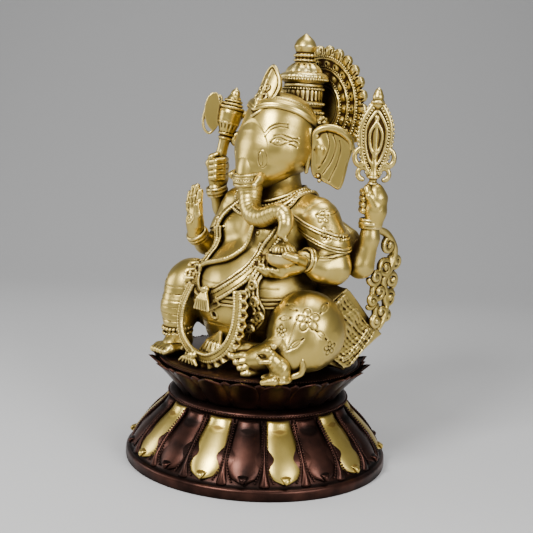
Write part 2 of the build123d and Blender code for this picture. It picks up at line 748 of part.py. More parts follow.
left_scroll = fitted(limb(SCROLL), arms["left_rear"], bolster)
right_scroll = fitted(limb([(-x, y, z, r) for x, y, z, r in SCROLL]), arms["right_rear"], bolster)
save("left_scarf_scroll", left_scroll)
save("right_scarf_scroll", right_scroll)


def make_mouse():
    mouse_x, mouse_y, _ = MOUSE_PLACE
    trunk_line = [(0, 0, 0, 11), (0, 0, 8, 12), (-2, -2, 20, 10), (-5, -5, 30, 8), (-8, -8, 38, 7.5),
                  (-12, -12, 42, 5)]
    stations = [(mouse_x + x, mouse_y + y, z, radius) for x, y, z, radius in trunk_line]
    return fitted(limb(stations), seat_room.part, *clad)


save("mouse", make_mouse())
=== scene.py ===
import json
import math

import bpy
import numpy as np
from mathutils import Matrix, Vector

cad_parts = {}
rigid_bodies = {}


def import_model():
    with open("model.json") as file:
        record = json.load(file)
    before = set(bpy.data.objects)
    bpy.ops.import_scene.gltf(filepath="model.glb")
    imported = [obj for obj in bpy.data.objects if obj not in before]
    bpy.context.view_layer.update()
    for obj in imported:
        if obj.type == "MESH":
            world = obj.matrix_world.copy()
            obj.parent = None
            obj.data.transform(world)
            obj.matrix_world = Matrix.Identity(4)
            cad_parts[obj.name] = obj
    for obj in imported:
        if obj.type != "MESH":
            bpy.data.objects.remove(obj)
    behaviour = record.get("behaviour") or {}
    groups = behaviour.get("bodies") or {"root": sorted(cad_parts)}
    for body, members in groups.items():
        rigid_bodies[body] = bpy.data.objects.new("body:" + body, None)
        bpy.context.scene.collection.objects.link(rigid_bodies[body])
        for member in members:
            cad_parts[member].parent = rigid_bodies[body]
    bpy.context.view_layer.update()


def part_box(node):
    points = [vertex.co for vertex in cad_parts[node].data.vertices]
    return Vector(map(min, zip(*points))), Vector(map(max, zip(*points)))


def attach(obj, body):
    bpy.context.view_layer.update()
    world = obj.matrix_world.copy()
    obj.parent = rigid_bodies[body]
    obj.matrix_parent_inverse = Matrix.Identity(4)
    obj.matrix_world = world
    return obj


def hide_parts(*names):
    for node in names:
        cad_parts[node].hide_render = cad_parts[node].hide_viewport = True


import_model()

import openvdb as vdb
from mathutils import Matrix, Vector

MM = 0.001
GRAIN = 1.0      # size of the clay's grid, in millimetres
REACH = 6.0                             # how far past a shape its distances are worked out
FAR = 60.0                              # the distance given to empty places
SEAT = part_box("seat_plate")[1].z / MM   # figure heights are measured from the seat
rng = np.random.default_rng(7)


# ---- lines and vectors --------------------------------------------------------------------------
def smooth_line(points, step=1.5):
    """Points (of any number of values each) joined by a smooth curve, sampled about every step."""
    points = np.array(points, float)
    padded = np.vstack([2 * points[0] - points[1], points, 2 * points[-1] - points[-2]])
    samples = []
    for a, b, c, d in zip(padded, padded[1:], padded[2:], padded[3:]):
        count = max(2, int(np.linalg.norm((c - b)[:3]) / step))
        t = np.linspace(0, 1, count, endpoint=False)[:, None]
        samples.append(0.5 * (2 * b + (c - a) * t + (2 * a - 5 * b + 4 * c - d) * t ** 2
                              + (3 * b - a - 3 * c + d) * t ** 3))
    return np.vstack(samples + [points[-1:]])


def unit(vectors):
    """Vectors of length one."""
    return vectors / np.maximum(np.linalg.norm(vectors, axis=-1, keepdims=True), 1e-9)


def arc(centre, radius, start, end, axes=((1, 0, 0), (0, 0, 1)), count=24):
    """Points round part of a circle or oval; axes are the directions of 0 and 90 degrees."""
    angles = np.radians(np.linspace(start, end, count))[:, None]
    radius = np.broadcast_to(radius, 2)
    across, up = np.array(axes, float)
    return np.array(centre, float) + radius[0] * np.cos(angles) * across + radius[1] * np.sin(angles) * up


def wire(line, radius):
    """A line's points with a radius each, as a rod's stations."""
    return np.column_stack([line, np.broadcast_to(radius, len(line))])


# ---- clay ---------------------------------------------------------------------------------------
class Clay:
    """A block of modelling clay: how far each point of a grid lies outside the surface, in mm."""

    def __init__(self, low, high, grain=GRAIN):
        self.low, self.grain = np.array(low, float), grain
        self.size = np.ceil((np.array(high, float) - self.low) / grain).astype(int) + 1
        self.gap = np.full(self.size, FAR, np.float32)

    def window(self, low, high):
        """The part of the grid between two corners, and its points' coordinates."""
        first = np.clip(np.floor((np.array(low) - self.low) / self.grain).astype(int), 0, self.size)
        last = np.clip(np.ceil((np.array(high) - self.low) / self.grain).astype(int) + 1, 0, self.size)
        axes = [self.low[i] + self.grain * np.arange(first[i], last[i], dtype=np.float32) for i in range(3)]
        return tuple(slice(a, b) for a, b in zip(first, last)), np.meshgrid(*axes, indexing="ij", sparse=True)

    def everywhere(self):
        """The coordinates of every point of the grid."""
        return self.window(self.low, self.low + self.grain * self.size)[1]

    def join(self, place, gap, soft=0.0):
        """Add a shape, with a soft fillet where it meets what is there."""
        old = self.gap[place]
        if soft:
            fillet = np.maximum(soft - np.abs(old - gap), 0)
            self.gap[place] = np.minimum(old, gap) - fillet * fillet / (4 * soft)
        else:
            self.gap[place] = np.minimum(old, gap)
        return self

    def carve(self, place, gap, soft=0.0):
        """Take a shape away."""
        self.gap[place] *= -1
        self.join(place, gap, soft)
        self.gap[place] *= -1
        return self

    def ball(self, centre, radii, soft=0.0, turn=None, carve=False):
        """An egg-shaped lump."""
        radii = np.broadcast_to(np.array(radii, float), 3)
        reach = radii.max() + REACH + soft
        place, (x, y, z) = self.window(np.array(centre) - reach, np.array(centre) + reach)
        offset = [x - centre[0], y - centre[1], z - centre[2]]
        if turn is not None:
            offset = [sum(turn[i][k] * offset[i] for i in range(3)) for k in range(3)]
        near = sum((part / radius) ** 2 for part, radius in zip(offset, radii)) ** 0.5
        far = sum((part / radius ** 2) ** 2 for part, radius in zip(offset, radii)) ** 0.5
        gap = near * (near - 1) / np.maximum(far, 1e-6)
        return self.carve(place, gap, soft) if carve else self.join(place, gap, soft)

    def rod(self, stations, soft=0.0, carve=False):
        """A rounded rod through x, y, z, radius."""
        stations = np.array(stations, float)
        for a, b in zip(stations[:-1], stations[1:]):
            reach = max(a[3], b[3]) + REACH + soft
            place, (x, y, z) = self.window(np.minimum(a, b)[:3] - reach, np.maximum(a, b)[:3] + reach)
            run = b[:3] - a[:3]
            along = ((x - a[0]) * run[0] + (y - a[1]) * run[1] + (z - a[2]) * run[2]) / max(run @ run, 1e-6)
            along = np.clip(along, 0, 1)
            off = ((x - a[0] - along * run[0]) ** 2 + (y - a[1] - along * run[1]) ** 2
                   + (z - a[2] - along * run[2]) ** 2) ** 0.5
            gap = off - (a[3] + along * (b[3] - a[3]))
            (self.carve if carve else self.join)(place, gap, soft)
        return self

    def sweep(self, line, out, reach, section, soft=0.0):
        """Sweep a section along a line: section(side, out, run) says how far outside it a point is."""
        line, out = np.array(line, float), unit(np.array(out, float))
        run = np.concatenate([[0], np.cumsum(np.linalg.norm(np.diff(line, axis=0), axis=1))])
        for i in range(len(line) - 1):
            a, b = line[i], line[i + 1]
            step = b - a
            side = unit(np.cross(step, out[i]))
            place, (x, y, z) = self.window(np.minimum(a, b) - reach - 2, np.maximum(a, b) + reach + 2)
            off = [x - a[0], y - a[1], z - a[2]]
            along = sum(part * s for part, s in zip(off, step)) / max(step @ step, 1e-6)
            held = np.clip(along, 0, 1)
            off = [part - held * s for part, s in zip(off, step)]
            end = (along - held) * np.linalg.norm(step)
            u = sum(part * s for part, s in zip(off, side))
            v = sum(part * s for part, s in zip(off, unit(np.cross(side, step))))
            gap = section(u, v, run[i] + held * (run[i + 1] - run[i]))
            self.join(place, np.where(np.abs(end) > 0.01, (np.maximum(gap, 0) ** 2 + end ** 2) ** 0.5, gap),
                      soft)
        return self

    def near_line(self, line, reach):
        """The grid about a line, and each point's distance from it."""
        line = np.array(line, float)
        place, coords = self.window(line.min(0) - reach, line.max(0) + reach)
        near = np.full(self.gap[place].shape, 1e3, np.float32)
        inner = Clay.__new__(Clay)
        inner.low = np.array([c.min() for c in coords], float)
        inner.grain, inner.size, inner.gap = self.grain, np.array(near.shape), near
        inner.rod(np.column_stack([line, np.zeros(len(line))]))
        return place, near

    def score(self, line, width=1.0, depth=1.0):
        """Engrave a line, or raise it where depth is negative."""
        place, near = self.near_line(line, width * 2 + 1)
        self.gap[place] += depth * np.exp(-(near / width) ** 2)
        return self

    def onto(self, points, rise=0.0):
        """Move points straight to the surface, or to a height above it."""
        points = np.array(points, float)
        for _ in range(8):
            points = points - (self.read(points) - rise)[:, None] * self.outward(points)
        return points

    def read(self, points):
        """The clay's distance at any points."""
        return sampled(self.gap, (points - self.low) / self.grain)

    def outward(self, points):
        """The direction away from the surface at any points."""
        steps = np.eye(3) * self.grain
        return unit(np.stack([self.read(points + s) - self.read(points - s) for s in steps], axis=-1))

    def copy(self, grow=0.0):
        """Another block like this one, a little larger all round."""
        other = Clay.__new__(Clay)
        other.low, other.grain, other.size = self.low, self.grain, self.size
        other.gap = self.gap - np.float32(grow)
        return other

    def keep(self, gap, soft=0.0):
        """Keep only what lies inside another shape given on the whole grid."""
        return self.carve(..., -gap, soft)

    def stand(self, soft=0.0):
        """Cut off what lies below the seat."""
        x, y, z = self.everywhere()
        return self.keep(-z + 0 * x + 0 * y, soft)

    def roughen(self, depth, fineness):
        """Hand-worked unevenness all over."""
        x, y, z = self.everywhere()
        waves = sum(np.sin(fineness * (a * x + b * y + c * z) + d)
                    for a, b, c, d in rng.uniform(-1, 1, (5, 4)) * (1, 1, 1, 3))
        self.gap += (depth * waves / 3).astype(np.float32)
        return self

    def cast(self, name, nodes, metal):
        """Turn the clay into a mesh piece that stands for CAD nodes."""
        grid = vdb.FloatGrid(REACH)
        grid.copyFromArray(np.pad(np.clip(self.gap, -REACH, REACH), 1, constant_values=REACH))
        points, quads = grid.convertToQuads(isovalue=0.0)
        points = ((np.array(points) - 1) * self.grain + self.low + (0, 0, SEAT)) * MM
        return placed(name, points, np.array(quads)[:, ::-1], nodes, metal)


def sampled(block, places):
    """Values of a block at fractional grid places, by linear steps."""
    places = np.clip(places, 0, np.array(block.shape) - 1.001)
    base = places.astype(int)
    part = places - base
    value = 0.0
    for corner in np.ndindex(2, 2, 2):
        weight = np.prod([part[:, k] if corner[k] else 1 - part[:, k] for k in range(3)], axis=0)
        value = value + weight * block[tuple(base[:, k] + corner[k] for k in range(3))]
    return value


# ---- pieces -------------------------------------------------------------------------------------
def placed(name, points, faces, nodes, metal):
    """A smooth mesh piece on the root body, with its hollows marked for the metal's wash."""
    mesh = bpy.data.meshes.new(name)
    mesh.from_pydata(points.tolist(), [], faces.tolist())
    mesh.validate()
    return finished(name, mesh, nodes, metal)


def finished(name, mesh, nodes, metal):
    """Link a mesh as a piece of the idol."""
    if signed_volume(mesh) < 0:
        mesh.flip_normals()
    mesh.shade_smooth()
    mark_hollows(mesh)
    mesh.materials.clear()
    mesh.materials.append(metal)
    piece = bpy.data.objects.new(name, mesh)
    bpy.context.scene.collection.objects.link(piece)
    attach(piece, "root")
    if nodes:
        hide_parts(*nodes)
    return piece


def signed_volume(mesh):
    """Six times the mesh's volume: below zero where its faces point inwards."""
    mesh.calc_loop_triangles()
    corners = np.empty(len(mesh.loop_triangles) * 3, int)
    mesh.loop_triangles.foreach_get("vertices", corners)
    a, b, c = coordinates(mesh)[corners].reshape(-1, 3, 3).transpose(1, 0, 2)
    return float((a * np.cross(b, c)).sum())


def coordinates(mesh):
    """The mesh's points as an array."""
    points = np.empty(len(mesh.vertices) * 3)
    mesh.vertices.foreach_get("co", points)
    return points.reshape(-1, 3)


def mark_hollows(mesh):
    """Write how hollow each point is, from 0 on a crest to 1 in a groove, at a fine and a broad scale."""
    points = coordinates(mesh)
    edges = np.empty(len(mesh.edges) * 2, int)
    mesh.edges.foreach_get("vertices", edges)
    ends = edges.reshape(-1, 2)
    ends = np.vstack([ends, ends[:, ::-1]])
    count = np.maximum(np.bincount(ends[:, 0], minlength=len(points)), 1)[:, None]
    normals = np.empty(len(points) * 3)
    mesh.vertex_normals.foreach_get("vector", normals)
    normals = normals.reshape(-1, 3)
    spread = points.copy()
    for name, rounds, gain in (("hollow", 3, 1400), ("deep", 22, 420)):
        for _ in range(rounds):
            sums = [np.bincount(ends[:, 0], weights=spread[ends[:, 1], k],
                                minlength=len(points)) for k in range(3)]
            spread = np.stack(sums, axis=1) / count
        lift = ((spread - points) * normals).sum(1)
        layer = mesh.attributes.new(name, "FLOAT", "POINT")
        layer.data.foreach_set("value", np.clip(0.5 + gain * lift, 0, 1).astype(np.float32))


def linked(nodes, links, kind, inputs, **settings):
    """Add one shader node; each input is a plain value or another node's output."""
    node = nodes.new(kind)
    for key, value in settings.items():
        setattr(node, key, value)
    for key, value in inputs.items():
        if isinstance(value, bpy.types.NodeSocket):
            links.new(value, node.inputs[key])
        else:
            node.inputs[key].default_value = value
    return node


def ramp(nodes, links, value, low, high):
    """A clamped straight step of a value from 0 at low to 1 at high."""
    step = linked(nodes, links, "ShaderNodeMapRange", {0: value, 1: low, 2: high, 3: 0.0, 4: 1.0})
    return step.outputs[0]


def mixed(nodes, links, factor, first, second):
    """A blend of two colours."""
    node = nodes.new("ShaderNodeMix")
    node.data_type = "RGBA"
    for socket, value in ((node.inputs[0], factor), (node.inputs[6], first), (node.inputs[7], second)):
        if isinstance(value, bpy.types.NodeSocket):
            links.new(value, socket)
        else:
            socket.default_value = value
    return node.outputs[2]


# wash colours both the patina in the hollows and the painted shade from ambient occlusion
def metal(name, slot, bright, middle, wash, shine, wash_and_shade_strength, sculpted=True):
    """Cast metal: bright on the crests, a dark wash in the grooves with painted shade added in corners and
    between parts, faint casting marks and scratches.
    """
    material = bpy.data.materials.new(name)
    material.use_nodes = True
    nodes, links = material.node_tree.nodes, material.node_tree.links
    shader = nodes["Principled BSDF"]
    place = linked(nodes, links, "ShaderNodeTexCoord", {}).outputs["Object"]
    cloud = linked(nodes, links, "ShaderNodeTexNoise", {"Vector": place, "Scale": 38.0, "Detail": 5.0})
    speck = linked(nodes, links, "ShaderNodeTexNoise", {"Vector": place, "Scale": 900.0, "Detail": 3.0})
    # painted shade: the ambient occlusion node darkens the colour in corners, creases and between parts,
    # where shade falls
    corner = linked(nodes, links, "ShaderNodeAmbientOcclusion", {"Distance": 0.022}, samples=8)
    shade = ramp(nodes, links, corner.outputs["AO"], 0.86, 0.28)
    if sculpted:
        fine = linked(nodes, links, "ShaderNodeAttribute", {}, attribute_name="hollow").outputs["Fac"]
        broad = linked(nodes, links, "ShaderNodeAttribute", {}, attribute_name="deep").outputs["Fac"]
        groove = ramp(nodes, links, fine, 0.53, 0.72)
        valley = ramp(nodes, links, broad, 0.55, 0.85)
        crest = ramp(nodes, links, fine, 0.47, 0.2)
    else:
        # without marked hollows, the dark mask is painted shade alone
        groove = valley = shade
        crest = ramp(nodes, links, cloud.outputs["Fac"], 0.6, 0.75)
    # the dark mask: the wash in the hollows is the metal's patina, and the ambient occlusion joined to it is
    # painted shade
    wash_and_painted_shade = linked(nodes, links, "ShaderNodeMath", {0: groove, 1: valley}, operation="MAXIMUM").outputs[0]
    wash_and_painted_shade = linked(nodes, links, "ShaderNodeMath", {0: wash_and_painted_shade, 1: shade}, operation="MAXIMUM").outputs[0]
    patch = ramp(nodes, links, cloud.outputs["Fac"], 0.3, 0.75)
    patchy = linked(nodes, links, "ShaderNodeMath", {0: wash_and_painted_shade, 1: patch}, operation="MULTIPLY_ADD")
    patchy.inputs[2].default_value = 0.0
    wash_and_painted_shade = linked(nodes, links, "ShaderNodeMath", {0: wash_and_painted_shade, 1: patchy.outputs[0]}, operation="ADD",
                  use_clamp=True).outputs[0]
    wash_and_painted_shade = linked(nodes, links, "ShaderNodeMath", {0: wash_and_painted_shade, 1: wash_and_shade_strength}, operation="MULTIPLY",
                  use_clamp=True).outputs[0]
    body = mixed(nodes, links, crest, middle, bright)
    tint = mixed(nodes, links, ramp(nodes, links, cloud.outputs["Fac"], 0.35, 0.7), body, middle)
    # the wash colour is laid both on the hollows' patina and on the painted shade
    colour = mixed(nodes, links, wash_and_painted_shade, tint, wash)
    links.new(colour, shader.inputs["Base Color"])
    shader.inputs["Metallic"].default_value = 1.0
    dull = linked(nodes, links, "ShaderNodeMapRange", {0: wash_and_painted_shade, 1: 0.0, 2: 1.0, 3: shine, 4: 0.62}).outputs[0]
    haze = linked(nodes, links, "ShaderNodeMath", {0: speck.outputs["Fac"], 1: 0.12, 2: dull},
                  operation="MULTIPLY_ADD").outputs[0]
    links.new(haze, shader.inputs["Roughness"])
    bump = linked(nodes, links, "ShaderNodeBump", {"Height": speck.outputs["Fac"], "Distance": 0.0002,
                                                   "Strength": 0.25})
    links.new(bump.outputs[0], shader.inputs["Normal"])
    return material


# after the name and slot: crest colour, middle colour, colour of the wash and of the painted shade, shine,
# strength of the wash and painted shade
BRASS = metal("antique_brass", "antique_brass", (0.92, 0.74, 0.30, 1), (0.62, 0.46, 0.12, 1),
              (0.045, 0.022, 0.007, 1), 0.27, 1.0)
GILT = metal("gilt_brass", "polished_brass", (0.83, 0.63, 0.17, 1), (0.67, 0.49, 0.11, 1),
             (0.10, 0.05, 0.012, 1), 0.24, 0.8)
PATINA = metal("dark_patina", "dark_patina", (0.085, 0.036, 0.026, 1), (0.022, 0.012, 0.010, 1),
               (0.009, 0.006, 0.005, 1), 0.30, 0.8)
STEEL = metal("zinc_steel", "steel", (0.62, 0.62, 0.62, 1), (0.5, 0.5, 0.5, 1),
              (0.12, 0.11, 0.10, 1), 0.32, 0.6, sculpted=False)


# ---- turned and repeated pieces -----------------------------------------------------------------
def spun(name, outline, nodes, metal, centre=(0, 0), count=96, flutes=0, depth=0.0, between=(0, 0)):
    """Turn a closed outline of radius, height (above the floor) about an upright axis; heights between
    two limits may be fluted."""
    outline = np.array(outline, float)
    angles = np.linspace(0, 2 * np.pi, count, endpoint=False)
    radius, height = outline[:, 0][None, :], outline[:, 1][None, :]
    fluted = (height > between[0]) & (height < between[1]) & (radius > 4)
    radius = radius + depth * np.cos(flutes * angles[:, None]) * fluted
    points = np.stack([centre[0] + radius * np.cos(angles[:, None]),
                       centre[1] + radius * np.sin(angles[:, None]),
                       np.broadcast_to(height, radius.shape)], axis=-1).reshape(-1, 3)
    rows = len(outline)
    faces = [(i * rows + j, i * rows + (j + 1) % rows, (i + 1) % count * rows + (j + 1) % rows,
              (i + 1) % count * rows + j) for i in range(count) for j in range(rows)]
    return placed(name, points * MM, np.array(faces), nodes, metal)


def rounded(points, step=2.0):
    """A smooth profile through a few points of radius and height."""
    points = np.column_stack([np.array(points, float), np.zeros(len(points))])
    return smooth_line(points, step)[:, :2].tolist()


def petal_mesh(name, profile, thickness, bow, rows=18, columns=12):
    """One closed petal: a row for each radius, height and half width along its middle line."""
    profile = smooth_line(profile, 3.0)
    profile = profile[np.linspace(0, len(profile) - 1, rows).astype(int)]
    across = np.linspace(-1, 1, columns)
    sheets = []
    for depth in (0.0, -thickness):
        radius = profile[:, 0:1] + bow * (1 - np.abs(across) ** 2.4) + depth
        turn = profile[:, 2:3] * across / profile[:, 0:1]
        sheets.append(np.stack([radius * np.cos(turn), radius * np.sin(turn),
                                np.broadcast_to(profile[:, 1:2], radius.shape)], axis=-1))
    points = np.concatenate(sheets).reshape(-1, 3) * MM

    def near(i, j, sheet):
        return sheet * rows * columns + i * columns + j

    faces = []
    for i in range(rows - 1):
        for j in range(columns - 1):
            faces.append((near(i, j, 0), near(i + 1, j, 0), near(i + 1, j + 1, 0), near(i, j + 1, 0)))
            faces.append((near(i, j, 1), near(i, j + 1, 1), near(i + 1, j + 1, 1), near(i + 1, j, 1)))
    edge = ([(i, 0) for i in range(rows - 1)] + [(rows - 1, j) for j in range(columns - 1)]
            + [(i, columns - 1) for i in range(rows - 1, 0, -1)]
            + [(0, j) for j in range(columns - 1, 0, -1)])
    for (i, j), (k, m) in zip(edge, edge[1:] + edge[:1]):
        faces.append((near(i, j, 0), near(i, j, 1), near(k, m, 1), near(k, m, 0)))
    mesh = bpy.data.meshes.new(name)
    mesh.from_pydata(points.tolist(), [], faces)
    return mesh


def new_tree(name, inputs):
    """A node tree that takes geometry, the named inputs and a metal, and gives geometry."""
    tree = bpy.data.node_groups.new(name, "GeometryNodeTree")
    for label, kind in (("Geometry", "Geometry"), *inputs, ("Metal", "Material")):
        tree.interface.new_socket(label, in_out="INPUT", socket_type="NodeSocket" + kind)
    tree.interface.new_socket("Geometry", in_out="OUTPUT", socket_type="NodeSocketGeometry")
    return tree, tree.nodes.new("NodeGroupInput")


def end_tree(tree, given, copies):
    """Make the copies real, give them the metal and put them out."""
    nodes, link = tree.nodes, tree.links.new
    solid, painted = nodes.new("GeometryNodeRealizeInstances"), nodes.new("GeometryNodeSetMaterial")
    link(copies.outputs[0], solid.inputs[0])
    link(solid.outputs[0], painted.inputs["Geometry"])
    link(given.outputs["Metal"], painted.inputs["Material"])
    link(painted.outputs[0], nodes.new("NodeGroupOutput").inputs[0])
    return tree


def ring_tree():
    """Copies of one object set evenly about Z."""
    tree, given = new_tree("ring", (("Piece", "Object"), ("Count", "Int"), ("Start", "Float")))
    nodes, link = tree.nodes, tree.links.new
    line, piece = nodes.new("GeometryNodeMeshLine"), nodes.new("GeometryNodeObjectInfo")
    line.inputs["Offset"].default_value = (0, 0, 0)
    link(given.outputs["Count"], line.inputs["Count"])
    link(given.outputs["Piece"], piece.inputs["Object"])
    share = nodes.new("ShaderNodeMath")
    share.operation = "DIVIDE"
    share.inputs[0].default_value = 2 * math.pi
    link(given.outputs["Count"], share.inputs[1])
    turn = nodes.new("ShaderNodeMath")
    turn.operation = "MULTIPLY_ADD"
    link(nodes.new("GeometryNodeInputIndex").outputs[0], turn.inputs[0])
    link(share.outputs[0], turn.inputs[1])
    link(given.outputs["Start"], turn.inputs[2])
    spin = nodes.new("ShaderNodeCombineXYZ")
    link(turn.outputs[0], spin.inputs["Z"])
    copies = nodes.new("GeometryNodeInstanceOnPoints")
    link(line.outputs[0], copies.inputs["Points"])
    link(piece.outputs["Geometry"], copies.inputs["Instance"])
    link(spin.outputs[0], copies.inputs["Rotation"])
    return end_tree(tree, given, copies)


def beads_tree():
    """A small ball at every point of a mesh, sized by the point's own radius."""
    tree, given = new_tree("beads", ())
    nodes, link = tree.nodes, tree.links.new
    ball, size = nodes.new("GeometryNodeMeshIcoSphere"), nodes.new("GeometryNodeInputNamedAttribute")
    ball.inputs["Radius"].default_value = 1.0
    ball.inputs["Subdivisions"].default_value = 2
    size.data_type = "FLOAT"
    size.inputs["Name"].default_value = "radius"
    copies = nodes.new("GeometryNodeInstanceOnPoints")
    link(given.outputs["Geometry"], copies.inputs["Points"])
    link(ball.outputs["Mesh"], copies.inputs["Instance"])
    link(size.outputs["Attribute"], copies.inputs["Scale"])
    return end_tree(tree, given, copies)


RING, BEADS = ring_tree(), beads_tree()


def grown(name, tree, mesh, values, nodes, metal):
    """Run a node tree on a mesh and keep the result as a piece."""
    holder = bpy.data.objects.new(name + "_holder", mesh)
    bpy.context.scene.collection.objects.link(holder)
    maker = holder.modifiers.new("maker", "NODES")
    maker.node_group = tree
    named = {item.name: item.identifier for item in tree.interface.items_tree if item.in_out == "INPUT"}
    for key, value in {**values, "Metal": metal}.items():
        maker[named[key]] = value
    graph = bpy.context.evaluated_depsgraph_get()
    made = bpy.data.meshes.new_from_object(holder.evaluated_get(graph))
    made.name = name
    holder.modifiers.remove(maker)
    bpy.data.objects.remove(holder)
    return finished(name, made, nodes, metal)


def ring(name, mesh, count, start, nodes, metal):
    """Set copies of a mesh evenly about the pedestal's axis; start is in steps of the ring."""
    part = bpy.data.objects.new(name + "_part", mesh)
    bpy.context.scene.collection.objects.link(part)
    empty = bpy.data.meshes.new(name + "_points")
    piece = grown(name, RING, empty, {"Piece": part, "Count": count, "Start": start * 2 * math.pi / count},
                  nodes, metal)
    bpy.data.objects.remove(part)
    return piece


def beads(name, points, radii, metal=None, nodes=()):
    """Small balls at points (x, y, height above the seat)."""
    points = np.array(points, float)
    mesh = bpy.data.meshes.new(name + "_points")
    mesh.from_pydata(((points + (0, 0, SEAT)) * MM).tolist(), [], [])
    layer = mesh.attributes.new("radius", "FLOAT", "POINT")
    sizes = np.broadcast_to(np.array(radii, float) * MM, len(points)).astype(np.float32)
    layer.data.foreach_set("value", sizes)
    return grown(name, BEADS, mesh, {}, nodes, metal or BRASS)


def spaced(line, gap):
    """Points along a line at even spacing."""
    line = np.array(line, float)
    run = np.concatenate([[0], np.cumsum(np.linalg.norm(np.diff(line, axis=0), axis=1))])
    stops = np.arange(gap / 2, run[-1], run[-1] / max(1, round(run[-1] / gap)))
    return np.stack([np.interp(stops, run, line[:, k]) for k in range(line.shape[1])], axis=1)


# ---- pedestal -----------------------------------------------------------------------------------
FOOT, WAIST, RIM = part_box("lower_lotus")[1].x / MM, 112.0, 14.5
LOWER_PAIRS, UPPER_PETALS = 10, 20      # a bright and a dark petal to each pair
TURNED = 160                            # steps round the pedestal's turned pieces


def bead_ring(radius, height, bead, count, metal):
    """A ring of beads round the pedestal at a height above the floor."""
    angles = np.linspace(0, 2 * np.pi, count, endpoint=False)
    points = np.column_stack([radius * np.cos(angles), radius * np.sin(angles),
                              np.full(count, height - SEAT)])
    return beads(f"bead_ring_{radius:.0f}", points, bead, metal)


def model_pedestal():
    shell = (rounded([(FOOT - 0.8, 0.2), (FOOT - 0.4, 3), (FOOT - 0.4, 10), (FOOT - 2, 13), (FOOT - 6, RIM)])
             + rounded([(FOOT - 7, RIM + 1), (158, 24), (149, 42), (136, 54), (120, 66), (WAIST, 80),
                        (110, 82)])
             + [(94, 82), (94, 78), (104, 74)] + [(118, 58), (140, 36), (152, 12), (152, 0.2)])
    spun("pedestal_bell", shell, ["lower_lotus"], PATINA, count=TURNED)
    neck = rounded([(111, 81), (115, 83), (116, 85.5), (115, 88), (111, 90)]) + [(96, 90), (96, 81)]
    spun("pedestal_neck", neck, ["waist_moulding"], PATINA, count=TURNED)
    cup = (rounded([(101, 90), (107, 98), (116, 110), (124, 122), (129, SEAT - 1)])
           + [(126, SEAT - 0.2), (120, SEAT - 6)] + rounded([(112, 112), (101, 98), (95, 90)]))
    spun("pedestal_cup", cup, ["upper_lotus"], PATINA, count=TURNED)
    deck = [(0.4, SEAT - 6), (0.4, SEAT)] + [(124, SEAT), (125.4, SEAT - 1), (125.4, SEAT - 6)]
    spun("pedestal_deck", deck, ["seat_plate"], PATINA, count=128)
    profile = [(112.5, 80, 14), (119, 70, 16), (129, 60, 18.5), (140, 48.5, 20.5), (149, 38, 22),
               (155, 29, 21), (159, 23, 15), (161, 20, 8), (162.5, 20, 1.2)]
    petal = petal_mesh("lower_petal", profile, 3.4, 4.4)
    ring("gilt_petal_ring", petal, LOWER_PAIRS, 0.21, ["gilt_petals"], GILT)
    ring("dark_petal_ring", petal, LOWER_PAIRS, 0.71, ["dark_petals"], PATINA)
    tip = petal_mesh("petal_tip", [(156, 30, 6), (160, 27, 7), (164.5, 26, 5), (166.4, 22.5, 3.4),
                                   (165, 19, 1)], 4, 1.8, 10, 8)
    ring("gilt_tip_ring", tip, LOWER_PAIRS, 0.21, [], GILT)
    ring("dark_tip_ring", tip, LOWER_PAIRS, 0.71, [], PATINA)
    ridge = petal_mesh("petal_ridge", [(113, 80, 1.0), (122, 69, 1.3), (138, 53, 1.6), (150, 38, 2),
                                       (158, 26, 4),
                                       (161, 18, 7), (162, 15.5, 8)], 4, 3.2, 16, 6)
    ring("ridge_ring", ridge, 2 * LOWER_PAIRS, 0.92, [], PATINA)
    lines = []
    for side in (-1, 1):
        for k in range(2 * LOWER_PAIRS):
            base = np.pi * (k + 0.92) / LOWER_PAIRS
            for radius, height, off in spaced(smooth_line([(116, 77.5, 1.9), (124, 68.5, 2.1), (139, 54, 2.5),
                                                           (151, 39, 3.2), (157, 29, 6.5), (161.5, 19, 12)],
                                                          1), 3.4):
                turn = base + side * off / radius
                lines.append(((radius + 1.2) * np.cos(turn), (radius + 1.2) * np.sin(turn), height - SEAT))
    beads("ridge_beads", lines, 1.25, PATINA)
    upper = petal_mesh("upper_petal", [(102, 90.5, 14), (107, 97, 16), (116, 108, 19), (126, 119, 20),
                                       (133, 126, 17),
                                       (138, 130, 10), (142, 133.2, 1)], 2.6, 3.0, 16, 12)
    ring("upper_petal_ring", upper, UPPER_PETALS, 0.22, ["upper_petals"], PATINA)
    back = petal_mesh("back_petal", [(106, 97, 8), (118, 112, 10), (128, 122, 10), (134, 128, 7),
                                     (137, 131.5, 1)],
                      2.4, 2.0, 12, 8)
    ring("back_petal_ring", back, UPPER_PETALS, 0.72, [], PATINA)
    bead_ring(116.2, 85.5, 1.5, 190, PATINA)
    bead_ring(129.4, SEAT - 1.2, 1.2, 220, PATINA)


# ---- body ---------------------------------------------------------------------------------------
def shape_torso(clay):
    """Belly, chest, shoulders and neck."""
    clay.ball((0, 6, 36), (84, 70, 46)).ball((0, -6, 82), (82, 80, 74), soft=14)
    clay.ball((0, 4, 124), (68, 60, 40), soft=14).ball((0, 10, 164), (64, 46, 50), soft=22)
    for side in (-1, 1):
        clay.ball((30 * side, -20, 166), (27, 23, 21), soft=14)
        clay.rod([(28 * side, 18, 198, 22), (72 * side, 18, 190, 25)], soft=16)
        clay.rod([(28 * side, 34, 188, 20), (62 * side, 44, 180, 18)], soft=16)
    clay.rod([(0, 20, 196, 30), (0, 18, 240, 27)], soft=18)
    return clay


